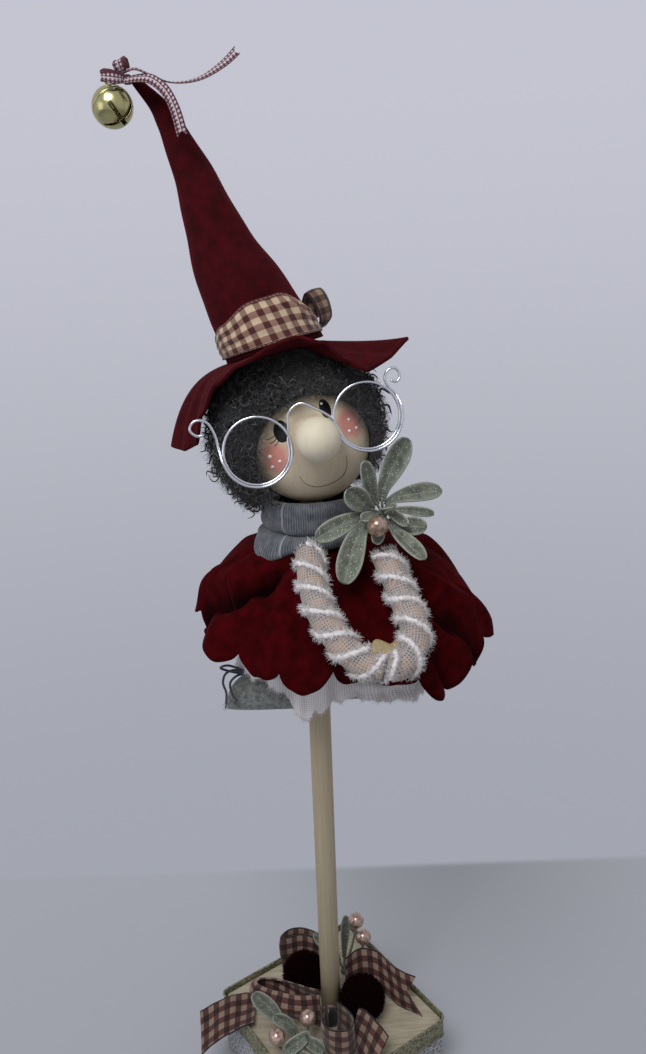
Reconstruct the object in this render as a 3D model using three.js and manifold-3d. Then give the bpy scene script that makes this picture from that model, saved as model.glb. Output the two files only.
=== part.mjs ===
// A befana doll on a stick: a wooden-headed doll in felt and gauze, carried by a dowel that stands in a
// square wooden block. Millimetres, +Z up, the doll looks along -Y, and the origin is the middle of the
// block's underside.
import * as THREE from "three";
import { mergeVertices } from "three/addons/utils/BufferGeometryUtils.js";
import Module from "manifold-3d";

const wasm = await Module();
wasm.setup();

// Clearances
const GLUE_GAP = 0.3; // between two pieces that touch on the real doll
const CLOTH_GAP = 0.4; // between layers of fabric

// Wooden base and stick
const BLOCK_SIDE = 98;
const BLOCK_HEIGHT = 40;
const BLOCK_YAW = 34.7; // degrees, so that one corner points almost at the viewer
const BLOCK_CORNER_CUT = 3;
const LACE_THICKNESS = 1;
const LACE_FLOOR_GAP = 2;
const TRIM_THICKNESS = 1.6;
const TRIM_WIDTH = 14;
const TRIM_STAND = 4; // how far the trim stands above the block's top
const DOWEL_DIAMETER = 12;
const DOWEL_BORE_CLEARANCE = 0.3;
const DOWEL_FOOT_DEPTH = 30; // of the dowel inside the block
const DOWEL_FACETS = 24;

// Head
const HEAD_DIAMETER = 60;
const HEAD_ABOVE_NECK = 49.5; // the ball's centre
const HEAD_BORE_DEPTH = 22;
const FACE_TURN = 7; // degrees to the viewer's right
const FACE_TIP = 13.5; // degrees upwards
const FACE_ROLL = 14.3; // degrees, the viewer's right side high
const NOSE_DIAMETER = 21;
const NOSE_FLAT = 1; // cut off where the bead is glued on
const HAIR_RADII = [44, 40, 46];
const HAIR_CENTRE = [-6, 6, 5]; // from the head's
const FACE_OPENING = { side: 27, up: 28, below: 8 };
const WIG_REACH = 95; // further forward than any hair

// Spectacles, one bent wire
const WIRE_DIAMETER = 1.3;
const LENS_RING_RADIUS = 15.7;
const LENS_SPREAD = [-27.6, 25.9]; // of the ring centres from the nose, to the viewer's left and right
const LENS_LIFT = 3.3;
const LENS_BEHIND_NOSE = 5.6; // from the nose's middle back to the rings' plane
const LENS_TURNS = 1.5;
const WIRE_LAP_OUT = 1.05; // from one turn of a ring to the next, outwards
const WIRE_LAP_FORWARD = 1.43; // and along the ring's axis

// Hat, in a frame of its own: the middle of its base from the head's centre, +Z along its lean
const HAT_BASE = [-14.9, 7.5, 45.2];
const HAT_LEAN = 13.7; // degrees to the viewer's left
const HAT_TIP_BACK = 6.5; // degrees
const HAT_RADIUS = 24.4;
const HAT_TIP_RADIUS = 2.2;
const HAT_TAPER = 1.05;
const HAT_RING_TURN = 0.35; // share of the cone over which its rings turn square to its axis
const HAT_AXIS = [
  [0, 0, 0],
  [-9, 0, 46],
  [-14.5, 0, 88.6],
  [-20.2, 0, 119.2],
  [-27.4, -4.4, 132.4],
];
const FELT_THICKNESS = 2;
const BRIM_HOLE_RADIUS = 17;
// Azimuth from the front, positive to the viewer's right; reach from the middle; drop of the edge; share
// of the drop that comes steadily, the rest comes at the edge
const BRIM_EDGE = [
  [-160, 44, 6, 0.3],
  [-120, 56, 20, 0.1],
  [-95, 64, 31, 0],
  [-80, 56, 33, 0],
  [-62, 50, 23, 0.1],
  [-40, 45, 7, 0.25],
  [-20, 44, 1.5, 0.1],
  [0, 42, -2, 0],
  [18, 42, -3, 0],
  [32, 45, 2, 0.5],
  [41, 48, 13, 0.8],
  [50, 52, 19.5, 1],
  [63, 58, 17, 1.2],
  [77, 64.5, 12, 1.3],
  [95, 59, 11, 1.2],
  [125, 49, 9, 0.8],
  [160, 43, 6, 0.4],
];
// Azimuth as above; width of the band there, which is drawn together at the sides
const BAND_WIDTHS = [
  [-90, 13],
  [-45, 19],
  [0, 22],
  [35, 21],
  [85, 12],
  [180, 17],
];
const BAND_START = 2;
const BAND_THICKNESS = 0.9;

// Bell and its narrow ribbon at the hat's tip, placed from the head's centre
const TIP_RIBBON_WIDTH = 5;
const RIBBON_THICKNESS = 0.6;
const TIP_KNOT = [-75.9, 12.6, 167.2];
const TIP_KNOT_SIZE = [4.2, 4.6, 4.2];
const BELL_DIAMETER = 19;
const BELL_WALL = 0.8;
const BELL_SLOT = 2;
const BELL_SLOT_REACH = 0.86; // share of the bell's radius
const BELL_MOUTH = [0.51, -0.57, -0.64]; // where the crossing of its slots points
const BELL_SLOT_TOWARDS = [0.2, -0.97, -0.13]; // one slot runs from there this way
const BELL_PIVOT = [-83.8, 13.4, 168.4];
const EYELET_RADIUS = 2.4;
const EYELET_WIRE = 1.1;
const STRAND_DIAMETER = 1.5;
const PELLET_DIAMETER = 4.5;

// Body, cape and petticoat; the whole doll follows the height of its neck on the stick
const NECK_HEIGHT = 352.5;
const CORE_RADIUS = 38;
const CORE_DEPTH = 49.5; // below the neck, as the depths that follow
const NECK_RADIUS = 9.5;
const CAPE_THICKNESS = 2;
const CAPE_SCALLOPS = 24;
const CAPE_SCALLOP_DEPTH = 0.055;
const CAPE_FOLD = 4.5;
// Azimuth as for the brim; hem radius; hem's depth; how full the dome is there
const CAPE_HEM = [
  [-135, 68, 44.5, 2.8],
  [-90, 64, 43.5, 2.8],
  [-45, 59, 49.5, 2.8],
  [-15, 60, 59.5, 2.8],
  [15, 63, 53.5, 2.8],
  [34, 67, 58.5, 3],
  [50, 76, 72.5, 3.4],
  [68, 88, 60.5, 3.8],
  [90, 93, 58.5, 3.8],
  [135, 80, 50.5, 3.2],
  [180, 72, 47.5, 2.8],
];
const GAUZE_THICKNESS = 1;
const PETTICOAT_TOP = 34.5;
const PETTICOAT_FOLD = 2;
const PETTICOAT_FOLDS = 13;
const PETTICOAT_HEM = [
  [-120, 42, 61.5],
  [-75, 40, 61.5],
  [-45, 44, 62.5],
  [-24, 41, 69.5],
  [-10, 39, 86.5],
  [6, 40, 84.5],
  [25, 46, 73.5],
  [52, 60, 78.5],
  [85, 60, 76.5],
  [125, 52, 70.5],
  [180, 45, 64.5],
];

// Scarf
const SCARF_RADIUS = 24.5;
const SCARF_FOLD_RADIUS = 27;
const SCARF_BELOW_HEAD = 21; // its top edge, from the ball's centre
const SCARF_FOLD_HEIGHT = 9.5; // from the neck to the crease
const SCARF_FACETS = 26;

// Arms: padded cores wound with strips of gauze, and two wooden hands; heights are from the neck
const ARM_RADIUS = 6;
const ARM_WRAP_RIDGE = 0.9;
const ARM_WRAP_PITCH = 11.5;
const ARM_STEP = 3; // between two rings of the solid
const ARM_LEFT = [
  [-1.2, -37.6, 0.9],
  [-0.2, -50, -8.5],
  [3.2, -60, -17.2],
  [9.6, -67, -26.2],
  [16.5, -72, -33],
  [23.4, -74.5, -37],
  [29.4, -75, -38.6],
];
const ARM_RIGHT = [
  [34.5, -35, 0.5],
  [38.6, -45.5, -7.5],
  [42.2, -53.5, -16.5],
  [45, -62, -22.4],
  [45.3, -67.5, -28.9],
  [42.6, -72, -34],
  [38, -74.5, -37.5],
  [33.4, -75, -38.6],
];
const HAND_LENGTH = 15;
const HAND_WIDTH = 8;
const HAND_THICKNESS = 4.2;

// Legs and boots
const LEG_RADIUS = 4.6;
const HIP_SPREAD = 13;
const BOOT_LENGTH = 42;
const BOOT_WIDTH = 17;
const BOOT_HEIGHT = 21;
const BOOT_SOLE = 87.7; // below the neck
const BOOT_HEEL = [-6, 8];
const BOOT_FORWARD = [19, 11]; // each leg hangs straight down into its boot
const LACE_CORD_DIAMETER = 1.5;
const LACE_FORWARD = [3, 2];
const LACE_ALONG = [0.72, 0.5]; // share of the boot's length
const LACE_DROP = [1.2, 0.4]; // the boot's top slopes down there

// Trimmings on the base and at the neck
const POMPOM_RADIUS = 13.3;
const PEARL_DIAMETER = 10;
const FOOT_RIBBON_WIDTH = 24;
const LEAF_THICKNESS = 1.2;
const STEM_DIAMETER = 1.8;
const STALK_HALF_WIDTH = 0.8;
const SPRIG_HUB_RADIUS = 2.6;
const KNOT_SIZE = [10, 8.4, 12];
const KNOT_PLACE = [-1, -11.6, 6.5]; // from the block's top

const TURN = 2 * Math.PI;
const rad = THREE.MathUtils.degToRad;
const vec = (p) => (p.isVector3 ? p.clone() : new THREE.Vector3(...p));
const raised = (points, by) => points.map(([x, y, z]) => [x, y, z + by]);

// Geometry helpers

// One closed body from points and triangles, turned outwards if its volume comes out negative.
function closedBody(points, triangles) {
  let volume = 0;
  for (const [a, b, c] of triangles)
    volume += points[a].dot(points[b].clone().cross(points[c]));
  const index = triangles.flatMap(([a, b, c]) => (volume < 0 ? [a, c, b] : [a, b, c]));
  const geometry = new THREE.BufferGeometry().setFromPoints(points);
  geometry.setIndex(index);
  geometry.computeVertexNormals();
  return geometry;
}

// A wall between two surfaces over the same grid; `wrapped` joins the grid's last column to its first.
function shell(lower, upper, columns, rows, wrapped) {
  const across = wrapped ? columns : columns + 1;
  const points = [];
  for (const surface of [lower, upper])
    for (let i = 0; i < across; i += 1)
      for (let j = 0; j <= rows; j += 1) points.push(surface(i / columns, j / rows));
  const at = (side, i, j) => side * across * (rows + 1) + (i % across) * (rows + 1) + j;
  const triangles = [];
  const quad = (a, b, c, d) => triangles.push([a, b, c], [a, c, d]);
  for (let i = 0; i < columns; i += 1) {
    for (let j = 0; j < rows; j += 1) {
      quad(at(0, i, j), at(0, i, j + 1), at(0, i + 1, j + 1), at(0, i + 1, j));
      quad(at(1, i, j), at(1, i + 1, j), at(1, i + 1, j + 1), at(1, i, j + 1));
    }
    quad(at(0, i, 0), at(0, i + 1, 0), at(1, i + 1, 0), at(1, i, 0));
    quad(at(0, i, rows), at(1, i, rows), at(1, i + 1, rows), at(0, i + 1, rows));
  }
  if (!wrapped)
    for (let j = 0; j < rows; j += 1) {
      quad(at(0, 0, j), at(1, 0, j), at(1, 0, j + 1), at(0, 0, j + 1));
      quad(at(0, columns, j), at(0, columns, j + 1), at(1, columns, j + 1), at(1, columns, j));
    }
  return closedBody(points, triangles);
}

// A sheet of even thickness whose middle is surface(u, v).
function sheet(surface, thickness, columns, rows, wrapped = false) {
  const STEP = 1e-3;
  const offset = (side) => (u, v) => {
    const alongU = surface(u + STEP, v).sub(surface(u - STEP, v));
    const alongV = surface(u, v + STEP).sub(surface(u, v - STEP));
    const normal = alongU.cross(alongV).normalize();
    return surface(u, v).addScaledVector(normal, side * thickness / 2);
  };
  return shell(offset(-1), offset(1), columns, rows, wrapped);
}

// A closed body of rings: pointAt(t, angle) runs round each ring, and the end rings are closed flat.
function loft(pointAt, steps, sides) {
  const points = [];
  for (let i = 0; i <= steps; i += 1)
    for (let j = 0; j < sides; j += 1) points.push(pointAt(i / steps, (TURN * j) / sides));
  const triangles = [];
  for (let i = 0; i < steps; i += 1)
    for (let j = 0; j < sides; j += 1) {
      const [a, b] = [i * sides + j, i * sides + ((j + 1) % sides)];
      triangles.push([a, b, b + sides], [a, b + sides, a + sides]);
    }
  for (const [ring, flip] of [[0, true], [steps, false]]) {
    const middle = new THREE.Vector3();
    for (let j = 0; j < sides; j += 1) middle.addScaledVector(points[ring * sides + j], 1 / sides);
    points.push(middle);
    for (let j = 0; j < sides; j += 1) {
      const [a, b] = [ring * sides + j, ring * sides + ((j + 1) % sides)];
      triangles.push(flip ? [b, a, points.length - 1] : [a, b, points.length - 1]);
    }
  }
  return closedBody(points, triangles);
}

// A round body along a curve; radiusAt(t, angle) gives its radius.
function rodAlong(curve, radiusAt, steps, sides) {
  const frames = curve.computeFrenetFrames(steps, false);
  return loft((t, angle) => {
    const i = Math.round(t * steps);
    const radius = radiusAt(t, angle);
    return curve
      .getPointAt(t)
      .addScaledVector(frames.normals[i], radius * Math.cos(angle))
      .addScaledVector(frames.binormals[i], radius * Math.sin(angle));
  }, steps, sides);
}

const spline = (points) => new THREE.CatmullRomCurve3(points.map(vec), false, "centripetal");

// A round wire or stem through the points.
function wire(points, diameter, steps, sides = 6) {
  const section = new THREE.Shape().absarc(0, 0, diameter / 2, 0, TURN);
  return new THREE.ExtrudeGeometry(new THREE.Shape(section.getPoints(sides / 2).slice(0, -1)), {
    extrudePath: spline(points),
    steps,
  });
}

// A ribbon through the points, its width laid along the side vectors; `notch` cuts a V into its far end.
function ribbon(points, sides, width, steps, notch = 0) {
  const middle = spline(points);
  const turnOf = spline(sides.map((side, i) => vec(side).setLength(10 + i * 1e-3)));
  return sheet((u, v) => {
    const t = THREE.MathUtils.clamp(u, 0, 1);
    const beyond = u - t;
    const side = turnOf.getPoint(t).normalize();
    const tangent = middle.getTangentAt(t);
    const cut = notch * Math.max(0, (t - 0.75) / 0.25) * (Math.abs(2 * v - 1) - 1);
    return middle
      .getPointAt(t)
      .addScaledVector(side, (v - 0.5) * width)
      .addScaledVector(tangent, cut + beyond * middle.getLength());
  }, RIBBON_THICKNESS, steps, notch ? 2 : 1);
}

// Smooth periodic values between [azimuth in degrees, value, value] stops.
function aroundStops(stops) {
  return (azimuth) => {
    const degrees = THREE.MathUtils.radToDeg(azimuth);
    const shifted = (d) => ((d - stops[0][0]) % 360 + 360) % 360;
    const here = shifted(degrees);
    let next = stops.findIndex((stop) => shifted(stop[0]) > here);
    if (next < 0) next = stops.length;
    const [from, to] = [stops[next - 1], stops[next % stops.length]];
    const span = next === stops.length ? 360 - shifted(from[0]) : shifted(to[0]) - shifted(from[0]);
    const share = THREE.MathUtils.smoothstep((here - shifted(from[0])) / span, 0, 1);
    return from.slice(1).map((value, k) => THREE.MathUtils.lerp(value, to[k + 1], share));
  };
}

const solidOf = (geometry) => {
  const bare = geometry.clone();
  bare.deleteAttribute("normal");
  bare.deleteAttribute("uv");
  const merged = mergeVertices(bare, 1e-4);
  return new wasm.Manifold(
    new wasm.Mesh({
      numProp: 3,
      vertProperties: new Float32Array(merged.attributes.position.array),
      triVerts: new Uint32Array(merged.index.array),
    }),
  );
};

const geometryOf = (solid) => {
  const mesh = solid.getMesh();
  const geometry = new THREE.BufferGeometry();
  geometry.setAttribute("position", new THREE.BufferAttribute(mesh.vertProperties, 3));
  geometry.setIndex([...mesh.triVerts]);
  geometry.computeVertexNormals();
  return geometry;
};

const cut = (body, ...tools) =>
  geometryOf(tools.reduce((left, tool) => left.subtract(solidOf(tool)), solidOf(body)));
const join = (...bodies) =>
  geometryOf(bodies.slice(1).reduce((sum, body) => sum.add(solidOf(body)), solidOf(bodies[0])));

const ball = (radius, centre, across = 24, down = 16) =>
  new THREE.SphereGeometry(radius, across, down).rotateX(Math.PI / 2).translate(...centre);
const upright = (radius, low, high, sides = DOWEL_FACETS) =>
  new THREE.CylinderGeometry(radius, radius, high - low, sides)
    .rotateX(Math.PI / 2)
    .translate(0, 0, (low + high) / 2);
const turned = (profile, sides) =>
  new THREE.LatheGeometry(profile.map(([r, z]) => new THREE.Vector2(r, z)), sides).rotateX(Math.PI / 2);

// Finishes
const finish = (color, roughness, metalness = 0) => ({ color, roughness, metalness });
const BARE_WOOD = finish("#cfc2a6", 0.6);
const PAINTED_BLOCK = finish("#b8ad97", 0.7);
const LACE = finish("#84878d", 0.95);
const TRIM = finish("#6d6b50", 0.8);
const BURGUNDY_FELT = finish("#6e1420", 0.95);
const WINE_VELVET = finish("#4a0a14", 0.9);
const GINGHAM = finish("#7a4a42", 0.85);
const POMPOM_YARN = finish("#24060c", 1);
const FROSTED_LEAF = finish("#66735f", 0.9);
const PEARL_COAT = finish("#b89c88", 0.25, 0.4);
const MOHAIR = finish("#3b3b40", 1);
const SILVER_WIRE = finish("#c8ccd2", 0.25, 1);
const GREY_WOOL = finish("#6f747c", 0.95);
const WHITE_GAUZE = finish("#d4d3d6", 0.95);
const GREY_GLITTER_FELT = finish("#74766f", 0.9);
const SLATE_CORD = finish("#3a3d4c", 0.9);
const BRASS = finish("#b3a55a", 0.3, 1);
const WADDING = finish("#e4e1da", 1);
const TAN_CLOTH = finish("#b89c80", 0.95);

const befanaDoll = new THREE.Group();
function place(name, geometry, material, parent = befanaDoll) {
  const mesh = new THREE.Mesh(geometry, new THREE.MeshStandardMaterial(material));
  mesh.name = name;
  parent.add(mesh);
  return mesh;
}

// Block: a square of wood with bevelled upright corners and a blind hole for the stick.
const blockTop = BLOCK_HEIGHT;
const dowelFoot = blockTop - DOWEL_FOOT_DEPTH;
const dowelRadius = DOWEL_DIAMETER / 2;
const boreRadius = dowelRadius + DOWEL_BORE_CLEARANCE;
function squareOutline(half, corner, Outline = THREE.Shape) {
  const outline = new Outline();
  const near = half - corner;
  outline.moveTo(near, -half);
  outline.lineTo(half, -near);
  outline.lineTo(half, near);
  outline.lineTo(near, half);
  outline.lineTo(-near, half);
  outline.lineTo(-half, near);
  outline.lineTo(-half, -near);
  outline.lineTo(-near, -half);
  outline.closePath();
  return outline;
}
const blockGroup = new THREE.Group();
blockGroup.rotation.z = rad(BLOCK_YAW);
befanaDoll.add(blockGroup);
const blockBody = new THREE.ExtrudeGeometry(squareOutline(BLOCK_SIDE / 2, BLOCK_CORNER_CUT), {
  depth: blockTop,
  bevelEnabled: false,
});
place("block", cut(blockBody, upright(boreRadius, dowelFoot, blockTop + 1)), PAINTED_BLOCK, blockGroup);

// Lace round the block's sides, and the glittered ribbon that stands round its top edge.
function bandRoundBlock(thickness, low, high) {
  const inner = BLOCK_SIDE / 2 + GLUE_GAP;
  const outline = squareOutline(inner + thickness, BLOCK_CORNER_CUT + thickness / 2);
  outline.holes.push(squareOutline(inner, BLOCK_CORNER_CUT, THREE.Path));
  return new THREE.ExtrudeGeometry(outline, { depth: high - low, bevelEnabled: false }).translate(0, 0, low);
}
const trimTop = blockTop + TRIM_STAND;
const trimLow = trimTop - TRIM_WIDTH;
place("side_lace", bandRoundBlock(LACE_THICKNESS, LACE_FLOOR_GAP, trimLow - GLUE_GAP), LACE, blockGroup);
place("edge_trim", bandRoundBlock(TRIM_THICKNESS, trimLow, trimTop), TRIM, blockGroup);

// Dowel: from the block's hole up into the head.
const headRadius = HEAD_DIAMETER / 2;
const headHeight = NECK_HEIGHT + HEAD_ABOVE_NECK;
const headBoreTop = headHeight - headRadius + HEAD_BORE_DEPTH;
place("dowel", upright(dowelRadius, dowelFoot + GLUE_GAP, headBoreTop - GLUE_GAP), BARE_WOOD);

// Head: a drilled wooden ball, with a bead for a nose glued on by a small flat.
const headCentre = [0, 0, headHeight];
place(
  "head",
  cut(ball(headRadius, headCentre, 24, 14), upright(boreRadius, headHeight - 2 * headRadius, headBoreTop)),
  BARE_WOOD,
);
const headGroup = new THREE.Group();
headGroup.position.set(...headCentre);
headGroup.rotation.set(rad(-FACE_TIP), rad(-FACE_ROLL), rad(FACE_TURN), "ZXY");
befanaDoll.add(headGroup);
const noseRadius = NOSE_DIAMETER / 2;
const noseForward = headRadius + GLUE_GAP + noseRadius - NOSE_FLAT;
const noseFlatCut = new THREE.BoxGeometry(HEAD_DIAMETER, HEAD_DIAMETER, HEAD_DIAMETER)
  .translate(0, headRadius - (headRadius + GLUE_GAP), 0);
place("nose", cut(ball(noseRadius, [0, -noseForward, 0], 16, 10), noseFlatCut), BARE_WOOD, headGroup);

// Spectacles: one wire curls, winds the left ring, arches over the nose, winds the right ring and curls.
const lensPlane = noseForward - LENS_BEHIND_NOSE;
const ringWire = (side) => {
  const points = [];
  const perTurn = 14;
  for (let i = 0; i <= LENS_TURNS * perTurn; i += 1) {
    const angle = Math.PI + (TURN * i) / perTurn;
    const turns = i / perTurn;
    const radius = LENS_RING_RADIUS + side * WIRE_LAP_OUT * (turns - LENS_TURNS / 2);
    points.push([
      LENS_SPREAD[side < 0 ? 0 : 1] + radius * Math.cos(angle),
      -lensPlane - side * WIRE_LAP_FORWARD * (turns - LENS_TURNS / 2),
      LENS_LIFT + radius * Math.sin(angle),
    ]);
  }
  return points;
};
const inLensPlane = (points) => points.map(([x, z, forward = 0]) => [x, -lensPlane - forward, z]);
const leftCurl = inLensPlane([
  [-48.8, 17.6, 0], [-51.6, 18.4, 0], [-53.6, 21.8, 0], [-50.6, 24.8, 0], [-45.6, 23.2, -0.4],
  [-43.6, 17, -1], [-43.9, 9.5, -1.4],
]);
const bridge = inLensPlane([
  [-10.6, 9.5, -1.4], [-8.6, 15.6, -1], [-2.2, 18.2, -0.4], [4.2, 13.4, 0.6], [8.3, 9, 1],
]);
const rightCurl = inLensPlane([
  [41.9, 9, -1.4], [39.6, 13.6, -1], [38.8, 18.6, -0.4], [41.6, 22, 0], [45.2, 21.8, 0], [46.4, 18.2, 0],
  [44, 15.7, 0], [41.6, 16.9, 0],
]);
const spectacleWire = [...leftCurl, ...ringWire(-1), ...bridge, ...ringWire(1), ...rightCurl];
place("spectacles", wire(spectacleWire, WIRE_DIAMETER, 84), SILVER_WIRE, headGroup);

// Hat: a rolled felt cone on a wavy brim.
const hatGroup = new THREE.Group();
hatGroup.position.set(...HAT_BASE).add(vec(headCentre));
hatGroup.rotation.set(rad(-HAT_TIP_BACK), rad(-HAT_LEAN), 0, "ZXY");
hatGroup.updateMatrix();
befanaDoll.add(hatGroup);
const hatAxis = spline(HAT_AXIS);
const hatLength = hatAxis.getLength();
// A point of the cone, `stand` outside its felt; the rings turn from the brim's plane to the axis's own.
const hatPoint = (t, angle, stand) => {
  const along = THREE.MathUtils.clamp(t, 0, 1);
  const upTo = Math.min(1, along / HAT_RING_TURN);
  const lean = new THREE.Vector3(0, 0, 1).lerp(hatAxis.getTangentAt(along), upTo).normalize();
  const right = new THREE.Vector3(0, 1, 0).cross(lean).normalize();
  const back = lean.clone().cross(right);
  const radius = HAT_TIP_RADIUS + (HAT_RADIUS - HAT_TIP_RADIUS) * (1 - along) ** HAT_TAPER + stand;
  return hatAxis
    .getPointAt(along)
    .addScaledVector(right, radius * Math.cos(angle))
    .addScaledVector(back, radius * Math.sin(angle));
};
place("hat_cone", loft((t, angle) => hatPoint(t, angle, 0), 11, 22), BURGUNDY_FELT, hatGroup);

const brimEdge = aroundStops(BRIM_EDGE);
const brimSurface = (u, v) => {
  const azimuth = TURN * u - Math.PI;
  const [reach, drop, steady] = brimEdge(azimuth);
  const radius = THREE.MathUtils.lerp(BRIM_HOLE_RADIUS, reach, v);
  const fall = drop * (steady * v + (1 - steady) * Math.max(0, v) ** 3);
  return new THREE.Vector3(
    radius * Math.sin(azimuth),
    -radius * Math.cos(azimuth),
    -GLUE_GAP - FELT_THICKNESS / 2 - fall,
  );
};
place("hat_brim", sheet(brimSurface, FELT_THICKNESS, 40, 4, true), BURGUNDY_FELT, hatGroup);

// Hat band: a gingham ribbon round the cone's foot, and the loop of its bow behind the right side.
const bandWidth = aroundStops(BAND_WIDTHS);
const bandAt = (stand) => (u, v) => {
  const [width] = bandWidth(TURN * u);
  return hatPoint((BAND_START + width * v) / hatLength, TURN * (u - 0.25), CLOTH_GAP + stand);
};
place("hat_band", shell(bandAt(0), bandAt(BAND_THICKNESS), 22, 1, true), GINGHAM, hatGroup);
const bandBow = ribbon(
  [[19.5, 18.5, 12], [20.5, 19.5, 20], [26, 20.5, 22.5], [31, 19.5, 16], [29.5, 18.5, 8], [24.5, 18.5, 6]],
  [[0.2, 1, 0.1], [0.1, 1, 0.1], [0.1, 1, 0.1], [0.1, 1, 0], [0.1, 1, 0], [0.2, 1, 0]],
  10,
  16,
);
place("hat_band_bow", bandBow, GINGHAM, hatGroup);

// Hair: a mohair wig, hollowed for the head, open at the face and flat under the hat.
const wig = new THREE.SphereGeometry(1, 18, 12).rotateX(Math.PI / 2).scale(...HAIR_RADII)
  .translate(...HAIR_CENTRE)
  .translate(...headCentre);
const faceCut = new THREE.CylinderGeometry(1, 1, WIG_REACH, 22)
  .translate(0, WIG_REACH / 2, 0)
  .rotateX(Math.PI)
  .scale(FACE_OPENING.side, 1, FACE_OPENING.up)
  .translate(0, 0, -FACE_OPENING.below);
headGroup.updateMatrix();
faceCut.applyMatrix4(headGroup.matrix);
const pastBrim = 1.25; // the cut runs on past the brim's edge
const aboveHair = HAIR_RADII[2];
const aboveBrim = shell(
  (u, v) => brimSurface(u, v * pastBrim).add(new THREE.Vector3(0, 0, -FELT_THICKNESS - CLOTH_GAP)),
  (u, v) => brimSurface(u, v * pastBrim).setZ(aboveHair),
  24,
  4,
  true,
).applyMatrix4(hatGroup.matrix);
const hatFootCut = upright(BRIM_HOLE_RADIUS + CLOTH_GAP, -2 * FELT_THICKNESS, aboveHair)
  .applyMatrix4(hatGroup.matrix);
const scarfTop = headHeight - SCARF_BELOW_HEAD;
const scarfCrease = NECK_HEIGHT + SCARF_FOLD_HEIGHT;
const scarfSpace = upright(SCARF_FOLD_RADIUS + CLOTH_GAP, NECK_HEIGHT, scarfTop + CLOTH_GAP, SCARF_FACETS);
const headSpace = ball(headRadius + CLOTH_GAP + GLUE_GAP, headCentre, 22, 14);
place("hair", cut(wig, headSpace, faceCut, aboveBrim, hatFootCut, scarfSpace), MOHAIR);

// Scarf: a woollen strip wound round the neck, with its lower turn folded outwards.
const stickHole = upright(boreRadius + CLOTH_GAP, 0, headHeight, SCARF_FACETS);
const scarfBand = turned(
  [[0, scarfCrease + CLOTH_GAP], [SCARF_RADIUS - 1, scarfCrease + CLOTH_GAP],
    [SCARF_RADIUS, scarfCrease + 3], [SCARF_RADIUS, scarfTop - 3], [SCARF_RADIUS - 0.8, scarfTop],
    [0, scarfTop]],
  SCARF_FACETS,
);
place("scarf_wrap", cut(scarfBand, headSpace, stickHole), GREY_WOOL);
const scarfFold = turned(
  [[0, NECK_HEIGHT + 3], [NECK_RADIUS + 1, NECK_HEIGHT + 3], [SCARF_RADIUS - 4, NECK_HEIGHT + 2.4],
    [SCARF_FOLD_RADIUS - 1, NECK_HEIGHT + 1.8], [SCARF_FOLD_RADIUS, NECK_HEIGHT + 4],
    [SCARF_FOLD_RADIUS - 0.4, scarfCrease - 3], [SCARF_FOLD_RADIUS - 2, scarfCrease], [0, scarfCrease]],
  SCARF_FACETS,
);
place("scarf_fold", cut(scarfFold, stickHole), GREY_WOOL);

// Body: a padded dome on the stick that the cape lies on.
const coreTop = NECK_HEIGHT - CAPE_THICKNESS / 2 - CLOTH_GAP - GLUE_GAP;
const coreFloor = NECK_HEIGHT - CORE_DEPTH;
const coreProfile = [
  [boreRadius, coreFloor], [CORE_RADIUS - 8, coreFloor], [CORE_RADIUS - 1, coreFloor + 7],
  [CORE_RADIUS, coreFloor + 16], [CORE_RADIUS - 4, coreFloor + 30], [CORE_RADIUS - 13, coreFloor + 40],
  [NECK_RADIUS + 6, coreTop - 1.5], [NECK_RADIUS - 1, coreTop], [boreRadius, coreTop],
  [boreRadius, coreFloor],
];
place("body_core", turned(coreProfile, 22), WADDING);

// Cape: a full circle of velvet with a scalloped edge, domed over the body and falling in folds.
const capeHem = aroundStops(CAPE_HEM);
const capeFoldAt = (azimuth) => 0.6 * Math.cos(7 * azimuth + 0.4) + 0.4 * Math.cos(11 * azimuth - 2.2);
const capeSurface = (u, v) => {
  const azimuth = TURN * u - Math.PI;
  const [hemRadius, hemDepth, dome] = capeHem(azimuth);
  const scallop = 1 - CAPE_SCALLOP_DEPTH * (1 - Math.abs(Math.sin((CAPE_SCALLOPS * azimuth) / 2)));
  const share = Math.max(0, v) * scallop;
  const fold = CAPE_FOLD * capeFoldAt(azimuth) * share ** 2;
  const radius = THREE.MathUtils.lerp(NECK_RADIUS, hemRadius, share) + fold;
  const height = NECK_HEIGHT - hemDepth * share ** dome + fold / 3;
  return new THREE.Vector3(radius * Math.sin(azimuth), -radius * Math.cos(azimuth), height);
};
place("cape", sheet(capeSurface, CAPE_THICKNESS, 4 * CAPE_SCALLOPS, 4, true), WINE_VELVET);

// Petticoat: gathered gauze tied round the body under the cape, its front corner hanging lowest.
const petticoatHem = aroundStops(PETTICOAT_HEM);
const petticoatSurface = (u, v) => {
  const azimuth = TURN * u - Math.PI;
  const [hemRadius, hemDepth] = petticoatHem(azimuth);
  const waist = CORE_RADIUS + CLOTH_GAP + GAUZE_THICKNESS;
  const fold = PETTICOAT_FOLD * Math.sin(PETTICOAT_FOLDS * azimuth) * Math.max(0, v);
  const radius = THREE.MathUtils.lerp(waist, hemRadius, v) + fold;
  const height = NECK_HEIGHT - THREE.MathUtils.lerp(PETTICOAT_TOP, hemDepth, v);
  return new THREE.Vector3(radius * Math.sin(azimuth), -radius * Math.cos(azimuth), height);
};
place("petticoat", sheet(petticoatSurface, GAUZE_THICKNESS, 4 * PETTICOAT_FOLDS, 2, true), WHITE_GAUZE);

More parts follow.
